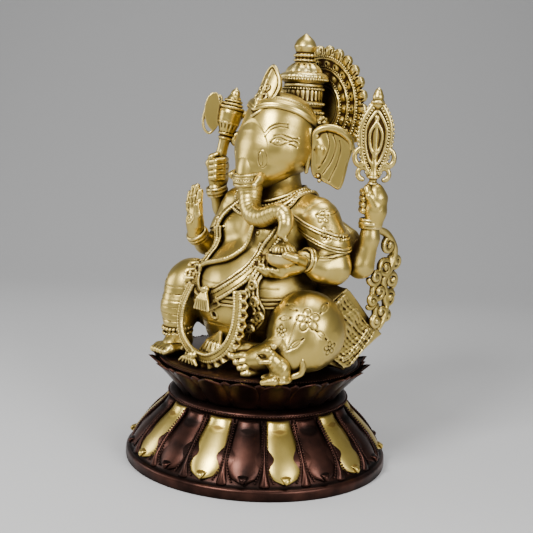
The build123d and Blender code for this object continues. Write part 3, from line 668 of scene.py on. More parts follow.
def shape_left_leg(clay):
    """The folded leg: thigh, round knee, shin and foot."""
    clay.rod([(34, 18, 44, 40), (66, 4, 50, 46), (94, -12, 54, 45)])
    clay.ball((102, -16, 55), (43, 43, 46), soft=16)
    clay.rod([(114, -30, 38, 26), (104, -44, 32, 23), (92, -52, 26, 18)], soft=14)
    clay.rod([(92, -46, 30, 18), (84, -60, 24, 16), (72, -70, 19, 13), (62, -78, 17, 11)], soft=10)
    return clay


def shape_right_leg(clay):
    """The raised leg: thigh, knee, upright shin and foot."""
    clay.rod([(-26, 4, 42, 36), (-56, -28, 62, 35), (-77, -50, 84, 31)])
    clay.ball((-80, -55, 88), (30, 30, 32), soft=12)
    clay.rod([(-82, -64, 80, 27), (-80, -72, 56, 24), (-74, -78, 36, 17), (-71, -80, 20, 14)], soft=10)
    clay.rod([(-68, -76, 15, 14), (-66, -88, 13, 13), (-64, -97, 11, 12)], soft=8)
    return clay


UNDER = shape_right_leg(shape_left_leg(shape_torso(Clay((-128, -124, -6), (150, 90, 244), 2.0))))


def draped(points, rise=0.0, step=1.5):
    """A smooth line laid on the body, at a height above its skin; with the outward direction there."""
    line = UNDER.onto(smooth_line(points, 4.0), rise)
    line = smooth_line(line[::2], step)
    return line, UNDER.outward(line)


def flower(clay, centre, radius, petals, depth=0.9, turn=0.0):
    """An engraved flower: a ring and petals round it."""
    centre = clay.onto([centre])[0]
    out = clay.outward(centre[None])[0]
    side = unit(np.cross(out, (0.13, 0.1, 1)))
    axes = (side, np.cross(out, side))
    loops = [arc(centre, radius * 0.22, 0, 360, axes, 18)]
    for k in range(petals):
        angle = turn + 2 * np.pi * k / petals
        away = np.cos(angle) * axes[0] + np.sin(angle) * axes[1]
        across = np.cos(angle + np.pi / 2) * axes[0] + np.sin(angle + np.pi / 2) * axes[1]
        loops.append(arc(centre + away * radius * 0.62, (radius * 0.38, radius * 0.3), 0, 360,
                         (away, across), 20))
    for loop in loops:
        clay.score(clay.onto(loop), 0.9, depth)


def leaf_lines(clay, start, end, bow, depth=0.8):
    """An engraved leaf between two points: two bowed sides and a vein."""
    start, end = clay.onto([start, end])
    out = clay.outward((start + end)[None] / 2)[0]
    side = unit(np.cross(out, end - start)) * bow
    for share in (-1, 0, 1):
        line = smooth_line([start, (start + end) / 2 + share * side, end], 2.0)
        clay.score(clay.onto(line), 0.8, depth)


def nails(clay, tips):
    """Finger or toe nails: a shallow arc on each tip."""
    for tip, away, out in tips:
        tip, away, out = np.array(tip, float), unit(np.array(away, float)), unit(np.array(out, float))
        side = np.cross(away, out)
        clay.score(clay.onto(arc(tip + out * 3, (3.0, 3.6), 15, 165, (side, -away), 10)), 0.6, 0.7)


def belt_gap(clay, height, half, tilt=0.0):
    """A level belt's mask: how far each grid point is above or below it."""
    x, y, z = clay.everywhere()
    return np.abs(z - height - tilt * y) - half


def layer(under, rise, mask, soft=1.0):
    """A thin layer lying on other clay, inside a mask."""
    over = under.copy(rise)
    return over.keep(mask, soft)


def model_body():
    """The torso with its navel and folds, and the belt laid on it."""
    torso = shape_torso(Clay((-104, -98, -4), (104, 92, 240)))
    torso.stand(1.0)
    belt = layer(torso, 2.4, belt_gap(torso, 87, 6.5, 0.03))
    for offset, rise in ((-5.2, 1.6), (5.2, 1.6), (0, 0.9)):
        belt.join(..., np.hypot(belt_gap(torso, 87 + offset, 0, 0.03), torso.gap - 2.0) - rise, 0.8)
    belt.cast("belt", ["waist_belt"], BRASS)
    navel = torso.onto([(4, -82, 64)])[0]
    out = torso.outward(navel[None])[0]
    side = unit(np.cross(out, (0, 0, 1)))
    torso.score(torso.onto(arc(navel, 5.5, 0, 360, (side, (0, 0, 1)))), 1.2, -1.2)
    torso.ball(navel + out * 1.5, (4.0, 3.4, 4.0), 1.5, carve=True)
    for sx in (-1, 1):
        nipple = torso.onto([(33 * sx, -44, 168)])[0]
        torso.score(torso.onto(arc(nipple, 4.6, 0, 360)), 0.9, -0.9)
        torso.ball(nipple, 2.2, 1.0)
    for height in (30, 48, 104):
        torso.score(torso.onto(arc((0, -6, height), (80, 80), 205, 335, ((1, 0, 0), (0, 1, 0)), 40)), 1.4,
                    0.5)
    torso.roughen(0.18, 0.35).cast("body", ["torso"], BRASS)


def model_legs():
    """Both legs with toes, nails and engraving, and their anklets."""
    left = shape_left_leg(Clay((-12, -122, -4), (152, 66, 106)))
    flower(left, (128, -42, 76), 15, 5)
    flower(left, (140, -20, 44), 9, 5)
    flower(left, (104, -62, 60), 8, 5)
    for start, end in (((116, -52, 90), (96, -50, 92)), ((138, -30, 86), (128, -10, 94)),
                       ((132, -52, 56), (118, -62, 40)),
                       ((140, -40, 66), (146, -26, 54)), ((112, -56, 78), (96, -58, 74)),
                       ((86, -44, 88), (70, -40, 90))):
        leaf_lines(left, start, end, 3.0)
    for reach in (0, 5):
        left.score(left.onto(arc((64 - reach, 2, 50), 50, -100, 110, ((0, -1, 0), (0, 0, 1)), 40)), 1.1, 0.9)
    toes = [((66, -54, 30, 7), (58, -74, 31, 7.5), (50, -90, 31, 6.5))]
    toes += [((72 + 2 * k, -70, 24 - 6 * k, 5.6), (62 + 4 * k, -84, 24 - 6.5 * k, 5),
              (56 + 5 * k, -94 + 2 * k, 23 - 6.5 * k, 4.4))
             for k in range(4)]
    for toe in toes:
        left.rod(toe, soft=2.5)
    nails(left, [(toe[-1][:3], np.subtract(toe[-1][:3], toe[1][:3]), (0.4, -0.5, 0.75)) for toe in toes])
    for share in np.linspace(-0.8, 0.9, 9):
        left.score(left.onto(smooth_line([(96 + 8 * share, -22, 96),
                                          (116, -52 + 10 * share, 60 + 20 * share), (106, -60, 36)])),
                   1.0, 0.25)
    left.stand(1.0)
    left.roughen(0.15, 0.4).cast("left_leg_folded", ["left_leg"], BRASS)

    right = shape_right_leg(Clay((-120, -124, -4), (12, 44, 124)))
    for k in range(5):
        across = -78 + 6.4 * k
        right.rod([(across + 2, -94, 11, 5.2), (across, -106, 10, 5.4 if k < 4 else 6.4),
                   (across - 1, -113, 7, 4.8)], soft=2.0)
    nails(right, [((-79 + 6.4 * k, -114, 8), (0, -1, -0.2), (0, -0.4, 1)) for k in range(5)])
    flower(right, (-96, -80, 92), 10, 5)
    for k in range(7):
        height = 34 + 9 * k
        right.score(right.onto(arc((-79, -70, height), 30, 180, 330, ((1, 0, 0), (0, 1, 0)), 20)), 0.8, 0.6)
        leaf_lines(right, (-100, -70, height + 4), (-92, -92, height + 6), 2.2)
    right.stand(1.0)
    right.roughen(0.15, 0.4).cast("right_leg_raised", ["right_leg"], BRASS)

    band = Clay((60, -76, 8), (112, -30, 60))
    for turn in range(3):
        band.sweep(arc((90, -52, 27), (21 - turn, 17), 0, 360, ((0.5, 0.35, 0.8), (-0.6, 0.8, 0)), 40),
                   np.tile((1, 0, 0), (40, 1)), 6,
                   lambda u, v, run: np.hypot(u, v) - 1.8)
    balls = arc((90, -52, 27), (21, 17), 200, 420, ((0.5, 0.35, 0.8), (-0.6, 0.8, 0)), 14)
    for point in balls:
        band.ball(point + (0.6, -3.0, -2.0), 3.2, 1.0)
    for height, size in ((34, 22), (27, 21)):
        band2 = arc((-73, -80, height), (size - 3, size - 3), 0, 360, ((1, 0, 0), (0, 1, 0.12)), 40)
        beads(f"ankle_beads_{height}", spaced(band2, 5.0), 2.6)
    band.cast("anklet_left", ["anklets"], BRASS)


def model_pleats():
    """The cloth's end fanned out on the seat between the feet."""
    clay = Clay((-40, -106, -3), (36, -56, 56))
    root, lines = np.array((6, -72, 40.0)), []
    for k, angle in enumerate(np.radians(np.linspace(206, 300, 11))):
        tip = root + (38 * math.cos(angle), 24 * math.sin(angle), -36)
        middle = (root + tip) / 2 + (0, 0, 5 - 3 * (k % 2))
        clay.rod([(*root, 2.5), (*middle, 3.6), (*tip, 3.0)], soft=1.5)
        lines.append(tip)
    clay.stand(0.5)
    for inset, width in ((6, 1.0), (11, 0.8)):
        edge = smooth_line([root + (tip - root) * (1 - inset / 50) + (0, 0, 4) for tip in lines], 1.5)
        clay.score(clay.onto(edge), width, 0.9)
    clay.cast("pleats", ["dhoti_pleats"], BRASS)


# ---- head ---------------------------------------------------------------------------------------
def shape_head(clay):
    """Skull, cheeks and the root of the trunk."""
    clay.ball((0, 20, 284), (46, 44, 42)).ball((0, 16, 306), (43, 42, 33), soft=14)
    for side in (-1, 1):
        clay.rod([(20 * side, 24, 266, 26), (20 * side, 2, 268, 26), (17 * side, -6, 268, 25)], soft=18)
    clay.rod([(0, 8, 292, 36), (0, -1, 272, 33), (0, -12, 252, 26), (0, -25, 238, 20)], soft=20)
    return clay


TRUNK = [(0, -4, 262, 30), (0, -22, 250, 24), (1, -31, 235, 18.5), (5, -34, 212, 14.5), (11, -38, 198, 13.5),
         (22, -41, 189, 13), (38, -41, 187, 12.2), (53, -39, 193, 11.2), (64, -38, 197, 10.5),
         (74, -38, 193, 9.6),
         (79, -40, 183, 8.6), (77, -42, 173, 7.4)]


def eye(clay, side):
    """An almond eye with lids, iris and corner creases, and a double brow line over it."""
    centre = clay.onto([(side * 43, -25, 281)])[0]
    out = clay.outward(centre[None])[0]
    up = unit(np.array((0, 0, 1.0)) - out * out[2])
    back = np.cross(up, out) * side

    def line(points):
        return clay.onto(smooth_line([centre + 1.1 * u * back + v * up for u, v in points], 1.0))

    for marks in (((-9, -1.5), (-4, 3.4), (2, 4.6), (8, 2), (15, 1)),
                  ((-9, -1.5), (-3, -4.8), (3, -4.6), (9, -1), (15, 1)),
                  ((-5, 6.5), (2, 9), (10, 7), (18, 5), (26, 6)), ((15, 1), (20, 2), (26, 0)),
                  ((12, -3), (18, -4), (24, -6))):
        clay.score(line(marks), 0.85, 0.95)
    clay.score(line([(2.4 * math.cos(a) - 0.5, 2.4 * math.sin(a)) for a in np.linspace(0, 6.28, 14)]), 0.7,
               0.9)
    for lift in (0, 4.0):
        clay.score(line([(u, v + lift) for u, v in ((-17, 6), (-11, 14), (-2, 18), (10, 18.5))]), 0.9, 0.95)


def model_head():
    """Head and eyes, trunk with its rings, and the tusks."""
    head = shape_head(Clay((-60, -60, 210), (60, 68, 342), GRAIN * 0.7))
    for side in (-1, 1):
        eye(head, side)
        head.rod([(side * 45, 22, 243, 2.6), (side * 47, 23, 262, 3), (side * 46, 24, 296, 2.6)], soft=2)
        head.rod([(side * 12, -24, 240, 10), (side * 23, -20, 243, 9), (side * 30, -10, 246, 8)], soft=8)
        head.rod([(side * 20, -30, 236, 6.5), (side * 24, -26, 240, 6)], soft=3)
        for inset in (0, 3):
            swirl = arc((side * (24 - inset), -32, 258), (6 - inset, 11 - inset), 0, 360,
                        ((0.7 * side, 0.5, 0), (0, 0, 1)), 24)
            head.score(head.onto(swirl), 0.7, 0.6)
    head.roughen(0.12, 0.35)
    trunk = Clay((-40, -72, 160), (100, 14, 292))
    trunk.rod(smooth_line(TRUNK, 3.0), soft=1.0)
    path = smooth_line(TRUNK, 1.5)
    for stop in range(14, len(path) - 6, 4):
        here, run = path[stop], unit(path[stop + 1][:3] - path[stop - 1][:3])
        if here[2] < 224:
            side = unit(np.cross(run, (0.3, -1, 0.3)))
            loop = arc(here[:3], here[3], 150, 390, (side, np.cross(run, side)), 18)
            trunk.score(trunk.onto(loop), 0.7, 0.45)
    tip = path[-1]
    trunk.ball(tip[:3] + (-1, -1, -7), 4.0, 1.0, carve=True)
    trunk.rod([(79, -44, 172, 3), (85, -43, 165, 2.6)], soft=2)
    trunk.rod([(72, -44, 172, 3), (68, -45, 166, 2.4)], soft=2)
    trunk.cast("trunk_curled", ["trunk"], BRASS)
    head.cast("elephant_head", ["head"], BRASS)
    ring = Clay((-32, -66, 214), (36, 4, 250), GRAIN * 0.8)
    for height, radius, thick in ((240, 22, 2.0), (236, 21, 2.2), (231.5, 20, 2.2), (227, 19, 2.0)):
        loop = arc((0, -29.5 - (240 - height) * 0.22, height), (radius, radius * 0.94), 0, 360,
                   ((1, 0, 0), (0, 1, 0.25)), 50)
        ring.rod(wire(loop, thick), soft=1.2)
    ring.cast("trunk_rings", ["trunk_band"], BRASS)
    beads("trunk_ring_beads", spaced(arc((0, -31.3, 233.7), (21.6, 20.4), 0, 360, ((1, 0, 0), (0, 1, 0.25)),
                                         50), 3.6), 1.6)
    tusks = Clay((-40, -66, 214), (40, -14, 252), GRAIN * 0.8)
    tusks.rod([(20, -26, 240, 6), (27, -40, 232, 5.4), (31, -50, 226, 3.4)], soft=1)
    tusks.rod([(-20, -26, 240, 6), (-26, -38, 234, 5.6)], soft=1)
    tusks.cast("tusk_pair", ["tusks"], BRASS)


def outline_gap(u, v, outline):
    """How far points lie outside a closed flat outline."""
    outline = np.array(outline, float)
    near = np.full(np.broadcast(u, v).shape, 1e6, np.float32)
    inside = np.zeros(near.shape, bool)
    for (ax, ay), (bx, by) in zip(outline, np.roll(outline, -1, axis=0)):
        ex, ey = bx - ax, by - ay
        t = np.clip(((u - ax) * ex + (v - ay) * ey) / max(ex * ex + ey * ey, 1e-9), 0, 1)
        near = np.minimum(near, (u - ax - t * ex) ** 2 + (v - ay - t * ey) ** 2)
        inside ^= ((ay > v) != (by > v)) & (u - ax < (v - ay) / (ey or 1e-9) * ex)
    return np.where(inside, -1, 1) * near ** 0.5


def slab(clay, outline, origin, axes, half, dish=None, soft=1.0):
    """Add a plate of a flat outline, set at an origin on two axes; dish gives its height over the plane."""
    x, y, z = clay.everywhere()
    across, up = np.array(axes, float)
    over = np.cross(across, up)
    u, v, w = (sum(part * step for part, step in zip((x - origin[0], y - origin[1], z - origin[2]), axis))
               for axis in (across, up, over))
    flat = outline_gap(u, v, outline)
    if dish is not None:
        w = w - dish(u, v)
    thick = np.abs(w) - half
    gap = np.where((flat > 0) & (thick > 0), np.hypot(flat, thick), np.maximum(flat, thick))
    clay.join(..., gap, soft)
    return u, v, w


def model_ears():
    """Two fan-shaped ears with a rolled rim and grooves."""
    outline = smooth_line([(0, 22, 0), (6, 30, 0), (18, 33, 0), (34, 29, 0), (47, 18, 0), (47, 6, 0),
                           (43, -8, 0), (41, -20, 0), (38, -34, 0),
                           (34, -41, 0), (24, -36, 0), (10, -30, 0), (2, -24, 0), (-1, 0, 0), (0, 22, 0)],
                          2.0)[:-1, :2]
    turn = math.radians(42)
    for side, name in ((1, "left_ear"), (-1, "right_ear")):
        axes = ((side * math.cos(turn), math.sin(turn), 0), (0, 0, 1))
        ear = Clay((40 if side > 0 else -98, 8, 214), (98 if side > 0 else -40, 72, 312), GRAIN * 0.8)
        slab(ear, outline, (side * 50, 27, 266), axes, 1.8, lambda u, v: side * 0.0024 * (u - 16) ** 2)

        def world(points, lift=0.0):
            root, across, up = np.array((side * 50, 27, 266)), np.array(axes[0]), np.array(axes[1])
            return [root + u * across + v * up + lift * np.array((side * 0.67, -0.74, 0)) * side
                    for u, v in points]

        rim = np.array(world(outline))
        ear.rod(np.column_stack([np.vstack([rim, rim[:1]]), np.full(len(rim) + 1, 1.7)]), soft=1.5)
        top = smooth_line([(*world([(u, v)], 1.5)[0], r) for u, v, r in
                           ((0, 8, 2), (1, 24, 3), (8, 31, 3.6), (20, 33, 4), (34, 29, 4), (46, 19, 3.2),
                            (47, 10, 2))], 2.0)
        ear.rod(top, soft=2)
        for line in (((8, -18), (16, -4), (20, 14), (16, 28)), ((14, -24), (24, -6), (28, 12), (24, 24)),
                     ((22, -32), (30, -12), (34, 6), (32, 18))):
            ear.score(ear.onto(smooth_line(world(line, 4))), 1.0, 0.9)
        ear.rod([(*world([(4, 18)])[0], 3.5), (*world([(9, 6)])[0], 4.5), (*world([(8, -12)])[0], 3)], soft=4)
        for u, v in ((6, 30), (4, 22), (30, 29), (8, -27), (10, -33)):
            ear.ball(world([(u, v)], 3)[0], 2.6, 1.0)
        ear.cast(name + "_fan", [name], BRASS)


# ---- crown and halo -----------------------------------------------------------------------------
CROWN = (0, 52)


def on_seat(outline):
    """A profile of radius and height above the seat, as heights above the floor."""
    return [(radius, SEAT + height) for radius, height in outline]


def crown_circle(radius, height, share=1.0):
    """A circle, or the front share of one, round the crown's axis."""
    half = 180 * share
    return arc((*CROWN, height), radius, -90 - half, -90 + half, ((1, 0, 0), (0, 1, 0)), 80)


def model_crown():
    """The crown's fluted tiers, its beads and the crest leaf."""
    drum = rounded([(23, 309), (26.5, 313), (26, 319), (24.5, 322), (26.5, 325), (26.5, 329), (24.5, 332),
                    (25, 342),
                    (24, 347), (25.5, 350), (24, 353)]) + [(2, 353), (2, 309)]
    spun("crown_tiers", on_seat(drum), ["crown_drum"], BRASS, CROWN, 120, 24, 0.7, (SEAT + 331, SEAT + 347))
    lip = rounded([(24, 352.5), (28.5, 356), (31, 360), (29.5, 364), (25, 366.5)]) + [(2, 366.5), (2, 352.5)]
    spun("crown_wheel", on_seat(lip), ["crown_lip"], BRASS, CROWN, 120, 30, 0.8, (SEAT + 356, SEAT + 364))
    dome = rounded([(24, 366), (21, 372), (15, 377), (12, 379.5)]) + [(2, 379.5), (2, 366)]
    spun("crown_cap", on_seat(dome), ["crown_dome"], BRASS, CROWN, 120, 12, 0.9, (SEAT + 367, SEAT + 378))
    bud = (rounded([(11, 379), (14.2, 381.5), (12, 384)], 1)
           + rounded([(12, 385), (14.6, 387.5), (12.5, 390)], 1)
           + rounded([(11.5, 391), (14, 397), (14.4, 400), (11, 407), (5, 412.5), (1.2, 415.4)],
                     1) + [(0.6, 379)])
    spun("crown_bud", on_seat(bud), ["crown_finial"], BRASS, CROWN, 80, 16, 0.5, (SEAT + 380, SEAT + 390))
    for radius, height, bead in ((27, 316, 2.3), (27.6, 327, 1.7), (25.8, 346, 1.7), (30.6, 357.5, 1.7)):
        beads(f"crown_beads_{height:.0f}", spaced(crown_circle(radius, height), 2.1 * bead), bead)
    crest = Clay((-24, -42, 300), (24, 22, 384), GRAIN * 0.8)
    outline = smooth_line([(0, -6, 0), (8, 2, 0), (13, 14, 0), (16, 28, 0), (16, 42, 0), (11, 54, 0),
                           (0, 64, 0),
                           (-11, 54, 0), (-16, 42, 0), (-16, 28, 0), (-13, 14, 0), (-8, 2, 0), (0, -6, 0)],
                          2.0)[:-1, :2]
    lean = unit(np.array((0, 0.5, 1.0)))
    axes = ((1, 0, 0), lean)
    slab(crest, outline, (0, -27, 313), axes, 3.0, lambda u, v: -0.03 * u * u)

    def on(u, v, lift=3.2):
        return np.array((u, -27, 313.0)) + v * lean + lift * np.cross(axes[0], lean)

    rim = [on(u, v, 3.0 - 0.03 * u * u) for u, v in outline]
    crest.rod([(*point, 1.9) for point in rim + rim[:1]], soft=1)
    crest.rod([(*on(0, 4), 3), (*on(0, 16), 4.6), (*on(0, 26), 2.6), (*on(0, 44), 2.0), (*on(0, 58), 1.6)],
              soft=2)
    for side in (-1, 1):
        for start, curl in ((6, 4.5), (18, 4.2), (30, 3.2)):
            centre = on(side * 7.2 * (1 - start / 90), start + 3, 2.4)
            crest.rod([(*point, 1.3) for point in arc(centre, curl, -60, 230,
                                                      (np.array((side, 0, 0)), lean), 16)], soft=0.8)
    crest.cast("crest", ["crest_leaf"], BRASS)


def head_band(points, lift):
    """A line laid on the head, at a height above it."""
    return smooth_line(HEAD_SKIN.onto(smooth_line(points, 3.0), lift), 1.5)


HEAD_SKIN = shape_head(Clay((-66, -66, 205), (66, 84, 348), 2.0))
HEADBAND = ((1, -22, 330), (18, -18, 334), (34, 2, 326), (43, 24, 314), (44, 40, 304))


def model_diadem():
    """Bands round the forehead, with beads between, and a rosette at each temple."""
    clay = Clay((-60, -50, 284), (60, 66, 350), GRAIN * 0.8)
    for side in (-1, 1):
        for rise, thick in ((8, 2.2), (4, 1.7), (1, 1.7), (-3, 2.6), (-7.5, 3.2), (-12, 3.2), (-16.5, 2.4)):
            fall = [(side * x, y, z + rise * (1 - 0.55 * k / 4)) for k, (x, y, z) in enumerate(HEADBAND)]
            line = head_band(fall, 1.4)
            clay.rod(wire(line, thick), soft=0.9)
    clay.cast("forehead_bands", ["diadem"], BRASS)
    for side in (-1, 1):
        line = head_band([(side * x, y, z + 2.5 * (1 - k / 6)) for k, (x, y, z) in enumerate(HEADBAND)], 2.6)
        beads(f"band_beads_{side + 1}", spaced(line, 3.0), 1.3)
    knot = Clay((-66, 20, 290), (66, 66, 320), GRAIN * 0.8)
    for side in (-1, 1):
        centre = np.array((side * 46, 42, 304.0))
        knot.ball(centre, (6, 9, 9), 1)
        for k in range(8):
            angle = 2 * np.pi * k / 8
            knot.ball(centre + (side * 3.0, 6.2 * math.cos(angle), 6.2 * math.sin(angle)), (3, 2.8, 2.8), 0.6)
        knot.ball(centre + (side * 6, 0, 0), 3.2, 0.8)
    knot.cast("temple_rosettes", ["crown_rosettes"], BRASS)


def model_halo():
    """The disc behind the crown: raised rings, petals, leaves and pierced holes."""
    centre, axes = np.array((0, 88.0, 323)), ((1, 0, 0), (0, 0, 1))
    clay = Clay((-83, 74, 240), (83, 96, 406))
    x, y, z = clay.everywhere()
    radius, angle = np.hypot(x, z - centre[2]), np.arctan2(x + 0 * z, z - centre[2] + 0 * x)
    phase = np.abs((angle * 26 / (2 * np.pi)) % 1 - 0.5) * 2
    edge = 68 + 12.5 * np.sqrt(np.clip(1 - phase ** 2.2, 0, 1))
    front = 1.6 + 2.2 * np.exp(-((radius - 64) / 1.8) ** 2) + 2.0 * np.exp(-((radius - 50) / 1.6) ** 2)
    front += 2.4 * np.exp(-((radius - 35) / 1.8) ** 2) + 1.4 * np.exp(-((radius - 31) / 1.4) ** 2)
    twirl = np.abs((angle * 22 / (2 * np.pi)) % 1 - 0.5) * 2
    petal = np.exp(-((radius - 57) / 4.5) ** 2) * (1.6 * np.cos(np.pi * twirl) + 0.8)
    inner = np.exp(-((radius - 42.5) / 4.5) ** 2) * (1.5 * np.cos(np.pi
                                                                  * (np.abs((angle * 18 / (2 * np.pi)) % 1
                                                                            - 0.5) * 2)) + 0.8)
    leaf = np.exp(-((radius - 74) / 5) ** 2) * (2.0 * (1 - phase) - 1.6 * (np.abs(phase - 0.55) < 0.12))
    front = front + petal + inner + leaf - 0.8 * (radius < 29)
    flat = np.maximum(radius - edge, -20)
    thick = np.maximum(centre[1] - 2 - y - front, y - centre[1] - 2.2)
    clay.join(..., np.maximum(flat, thick).astype(np.float32))
    for k in range(22):
        turn = 2 * np.pi * (k + 0.5) / 22
        point = centre + 57 * np.array((math.sin(turn), 0, math.cos(turn)))
        clay.rod([(*(point - (0, 9, 0)), 1.7), (*(point + (0, 7, 0)), 1.7)], carve=True)
    clay.cast("halo_relief", ["halo_disc", "halo_rings", "halo_leaves"], BRASS)
    for radius, bead in ((66.5, 1.7), (53, 1.5), (38.2, 1.5)):
        beads(f"halo_beads_{radius:.0f}", spaced(arc(centre - (0, 4.6, 0), radius, 0, 360, axes, 90), 3.7),
              bead)
    tips = [centre + (79 * math.sin(a), -3, 79 * math.cos(a)) for a in np.linspace(0, 2 * np.pi,
                                                                                   27)[:-1] + np.pi / 26]
    beads("halo_tip_beads", tips, 1.9)


# ---- arms and hands -----------------------------------------------------------------------------
def model_arms():
    """The four arms and the bangles at their wrists."""
    arm = Clay((36, -40, 96), (146, 78, 240))
    arm.rod([(60, 18, 190, 24), (78, 18, 186, 26), (96, 20, 158, 24), (104, 20, 132, 21)]).rod(
        [(104, 20, 130, 20), (100, 4, 131, 18), (93, -12, 139, 12.5)], soft=8)
    arm.rod([(88, -18, 140, 12), (92, -8, 138, 13.5)], soft=4)
    flower(arm, (104, 2, 172), 10, 5)
    flower(arm, (116, 26, 160), 9, 5)
    flower(arm, (104, -2, 196), 8, 5)
    for height in (206, 152, 147):
        arm.score(arm.onto(arc((84, 18, height), 34, 150, 420, ((1, 0, 0), (0, 1, 0.2)), 40)), 1.2, 0.9)
    arm.roughen(0.12, 0.4).cast("arm_left_front", ["left_front_arm"], BRASS)

    arm = Clay((-134, -56, 96), (-36, 70, 236))
    arm.rod([(-60, 18, 190, 24), (-76, 16, 184, 24), (-92, 12, 158, 20), (-100, 4, 130, 18)]).rod(
        [(-100, 2, 130, 17), (-97, -20, 136, 14), (-92, -40, 150, 11.5)], soft=6)
    arm.roughen(0.12, 0.4).cast("arm_right_front", ["right_front_arm"], BRASS)

    arm = Clay((34, 24, 110), (146, 88, 200))
    arm.rod([(44, 42, 182, 20), (88, 58, 160, 17), (114, 56, 132, 16)]).rod([(118, 56, 134, 15),
                                                                             (124, 60, 168, 11.5),
                                                                             (124, 60, 184, 11)], soft=6)
    arm.roughen(0.12, 0.4).cast("arm_left_rear", ["left_rear_arm"], BRASS)
    arm = Clay((-132, -18, 120), (-34, 84, 220))
    arm.rod([(-44, 42, 182, 20), (-86, 54, 164, 17), (-110, 34, 148, 16)]).rod([(-110, 32, 150, 15),
                                                                                (-108, 14, 184, 12),
                                                                                (-105, 1, 208, 11)], soft=6)
    arm.roughen(0.12, 0.4).cast("arm_right_rear", ["right_rear_arm"], BRASS)

    cuffs = Clay((-136, -60, 112), (146, 84, 226), GRAIN * 1.2)
    for centre, axis, radius in (((93, -12, 140), (-0.15, -0.95, 0.2), 13.5),
                                 ((-92.5, -38, 149), (0.1, -0.7, 0.75), 12.5),
                                 ((124, 60, 186), (0, 0, 1), 12.5), ((-105, 2, 206), (0, -0.3, 1), 12.5)):
        axis = unit(np.array(axis, float))
        side = unit(np.cross(axis, (0.3, 0.9, 0.31)))
        for offset, thick in ((-4.4, 2.0), (0, 2.6), (4.4, 2.0)):
            loop = arc(np.array(centre) + offset * axis, radius, 0, 360, (side, np.cross(axis, side)), 36)
            cuffs.rod(wire(loop, thick), soft=1.0)
    cuffs.cast("wrist_bangles", ["bracelets"], BRASS)


def model_armlets():
    """A band round each front upper arm."""
    arm = Clay((36, -24, 130), (132, 64, 222))
    arm.rod([(60, 18, 190, 24), (78, 18, 186, 26), (96, 20, 158, 24), (104, 20, 132, 21)])
    x, y, z = arm.everywhere()
    slope = z - 172 + 0.32 * (x - 90)
    over = layer(arm, 2.0, np.abs(slope + 0 * y) - 10)
    for offset in (-9, -5.5, 5.5, 9):
        over.join(..., np.hypot(slope + offset + 0 * y, arm.gap - 2.0) - 1.2, 0.6)
    flower(over, (110, -2, 170), 6, 5)
    flower(over, (118, 16, 168), 6, 5)
    over.keep(56 - x + 0 * y + 0 * z)
    over.cast("armlet_left", ["armlets"], BRASS)
    arm = Clay((-124, -24, 130), (-36, 60, 214))
    arm.rod([(-60, 18, 190, 24), (-76, 16, 184, 24), (-92, 12, 158, 20), (-100, 4, 130, 18)])
    x, y, z = arm.everywhere()
    slope = z - 168 - 0.32 * (x + 88)
    over = layer(arm, 2.2, np.abs(slope + 0 * y) - 8)
    over.keep(56 + x + 0 * y + 0 * z)
    over.cast("armlet_right", [], BRASS)


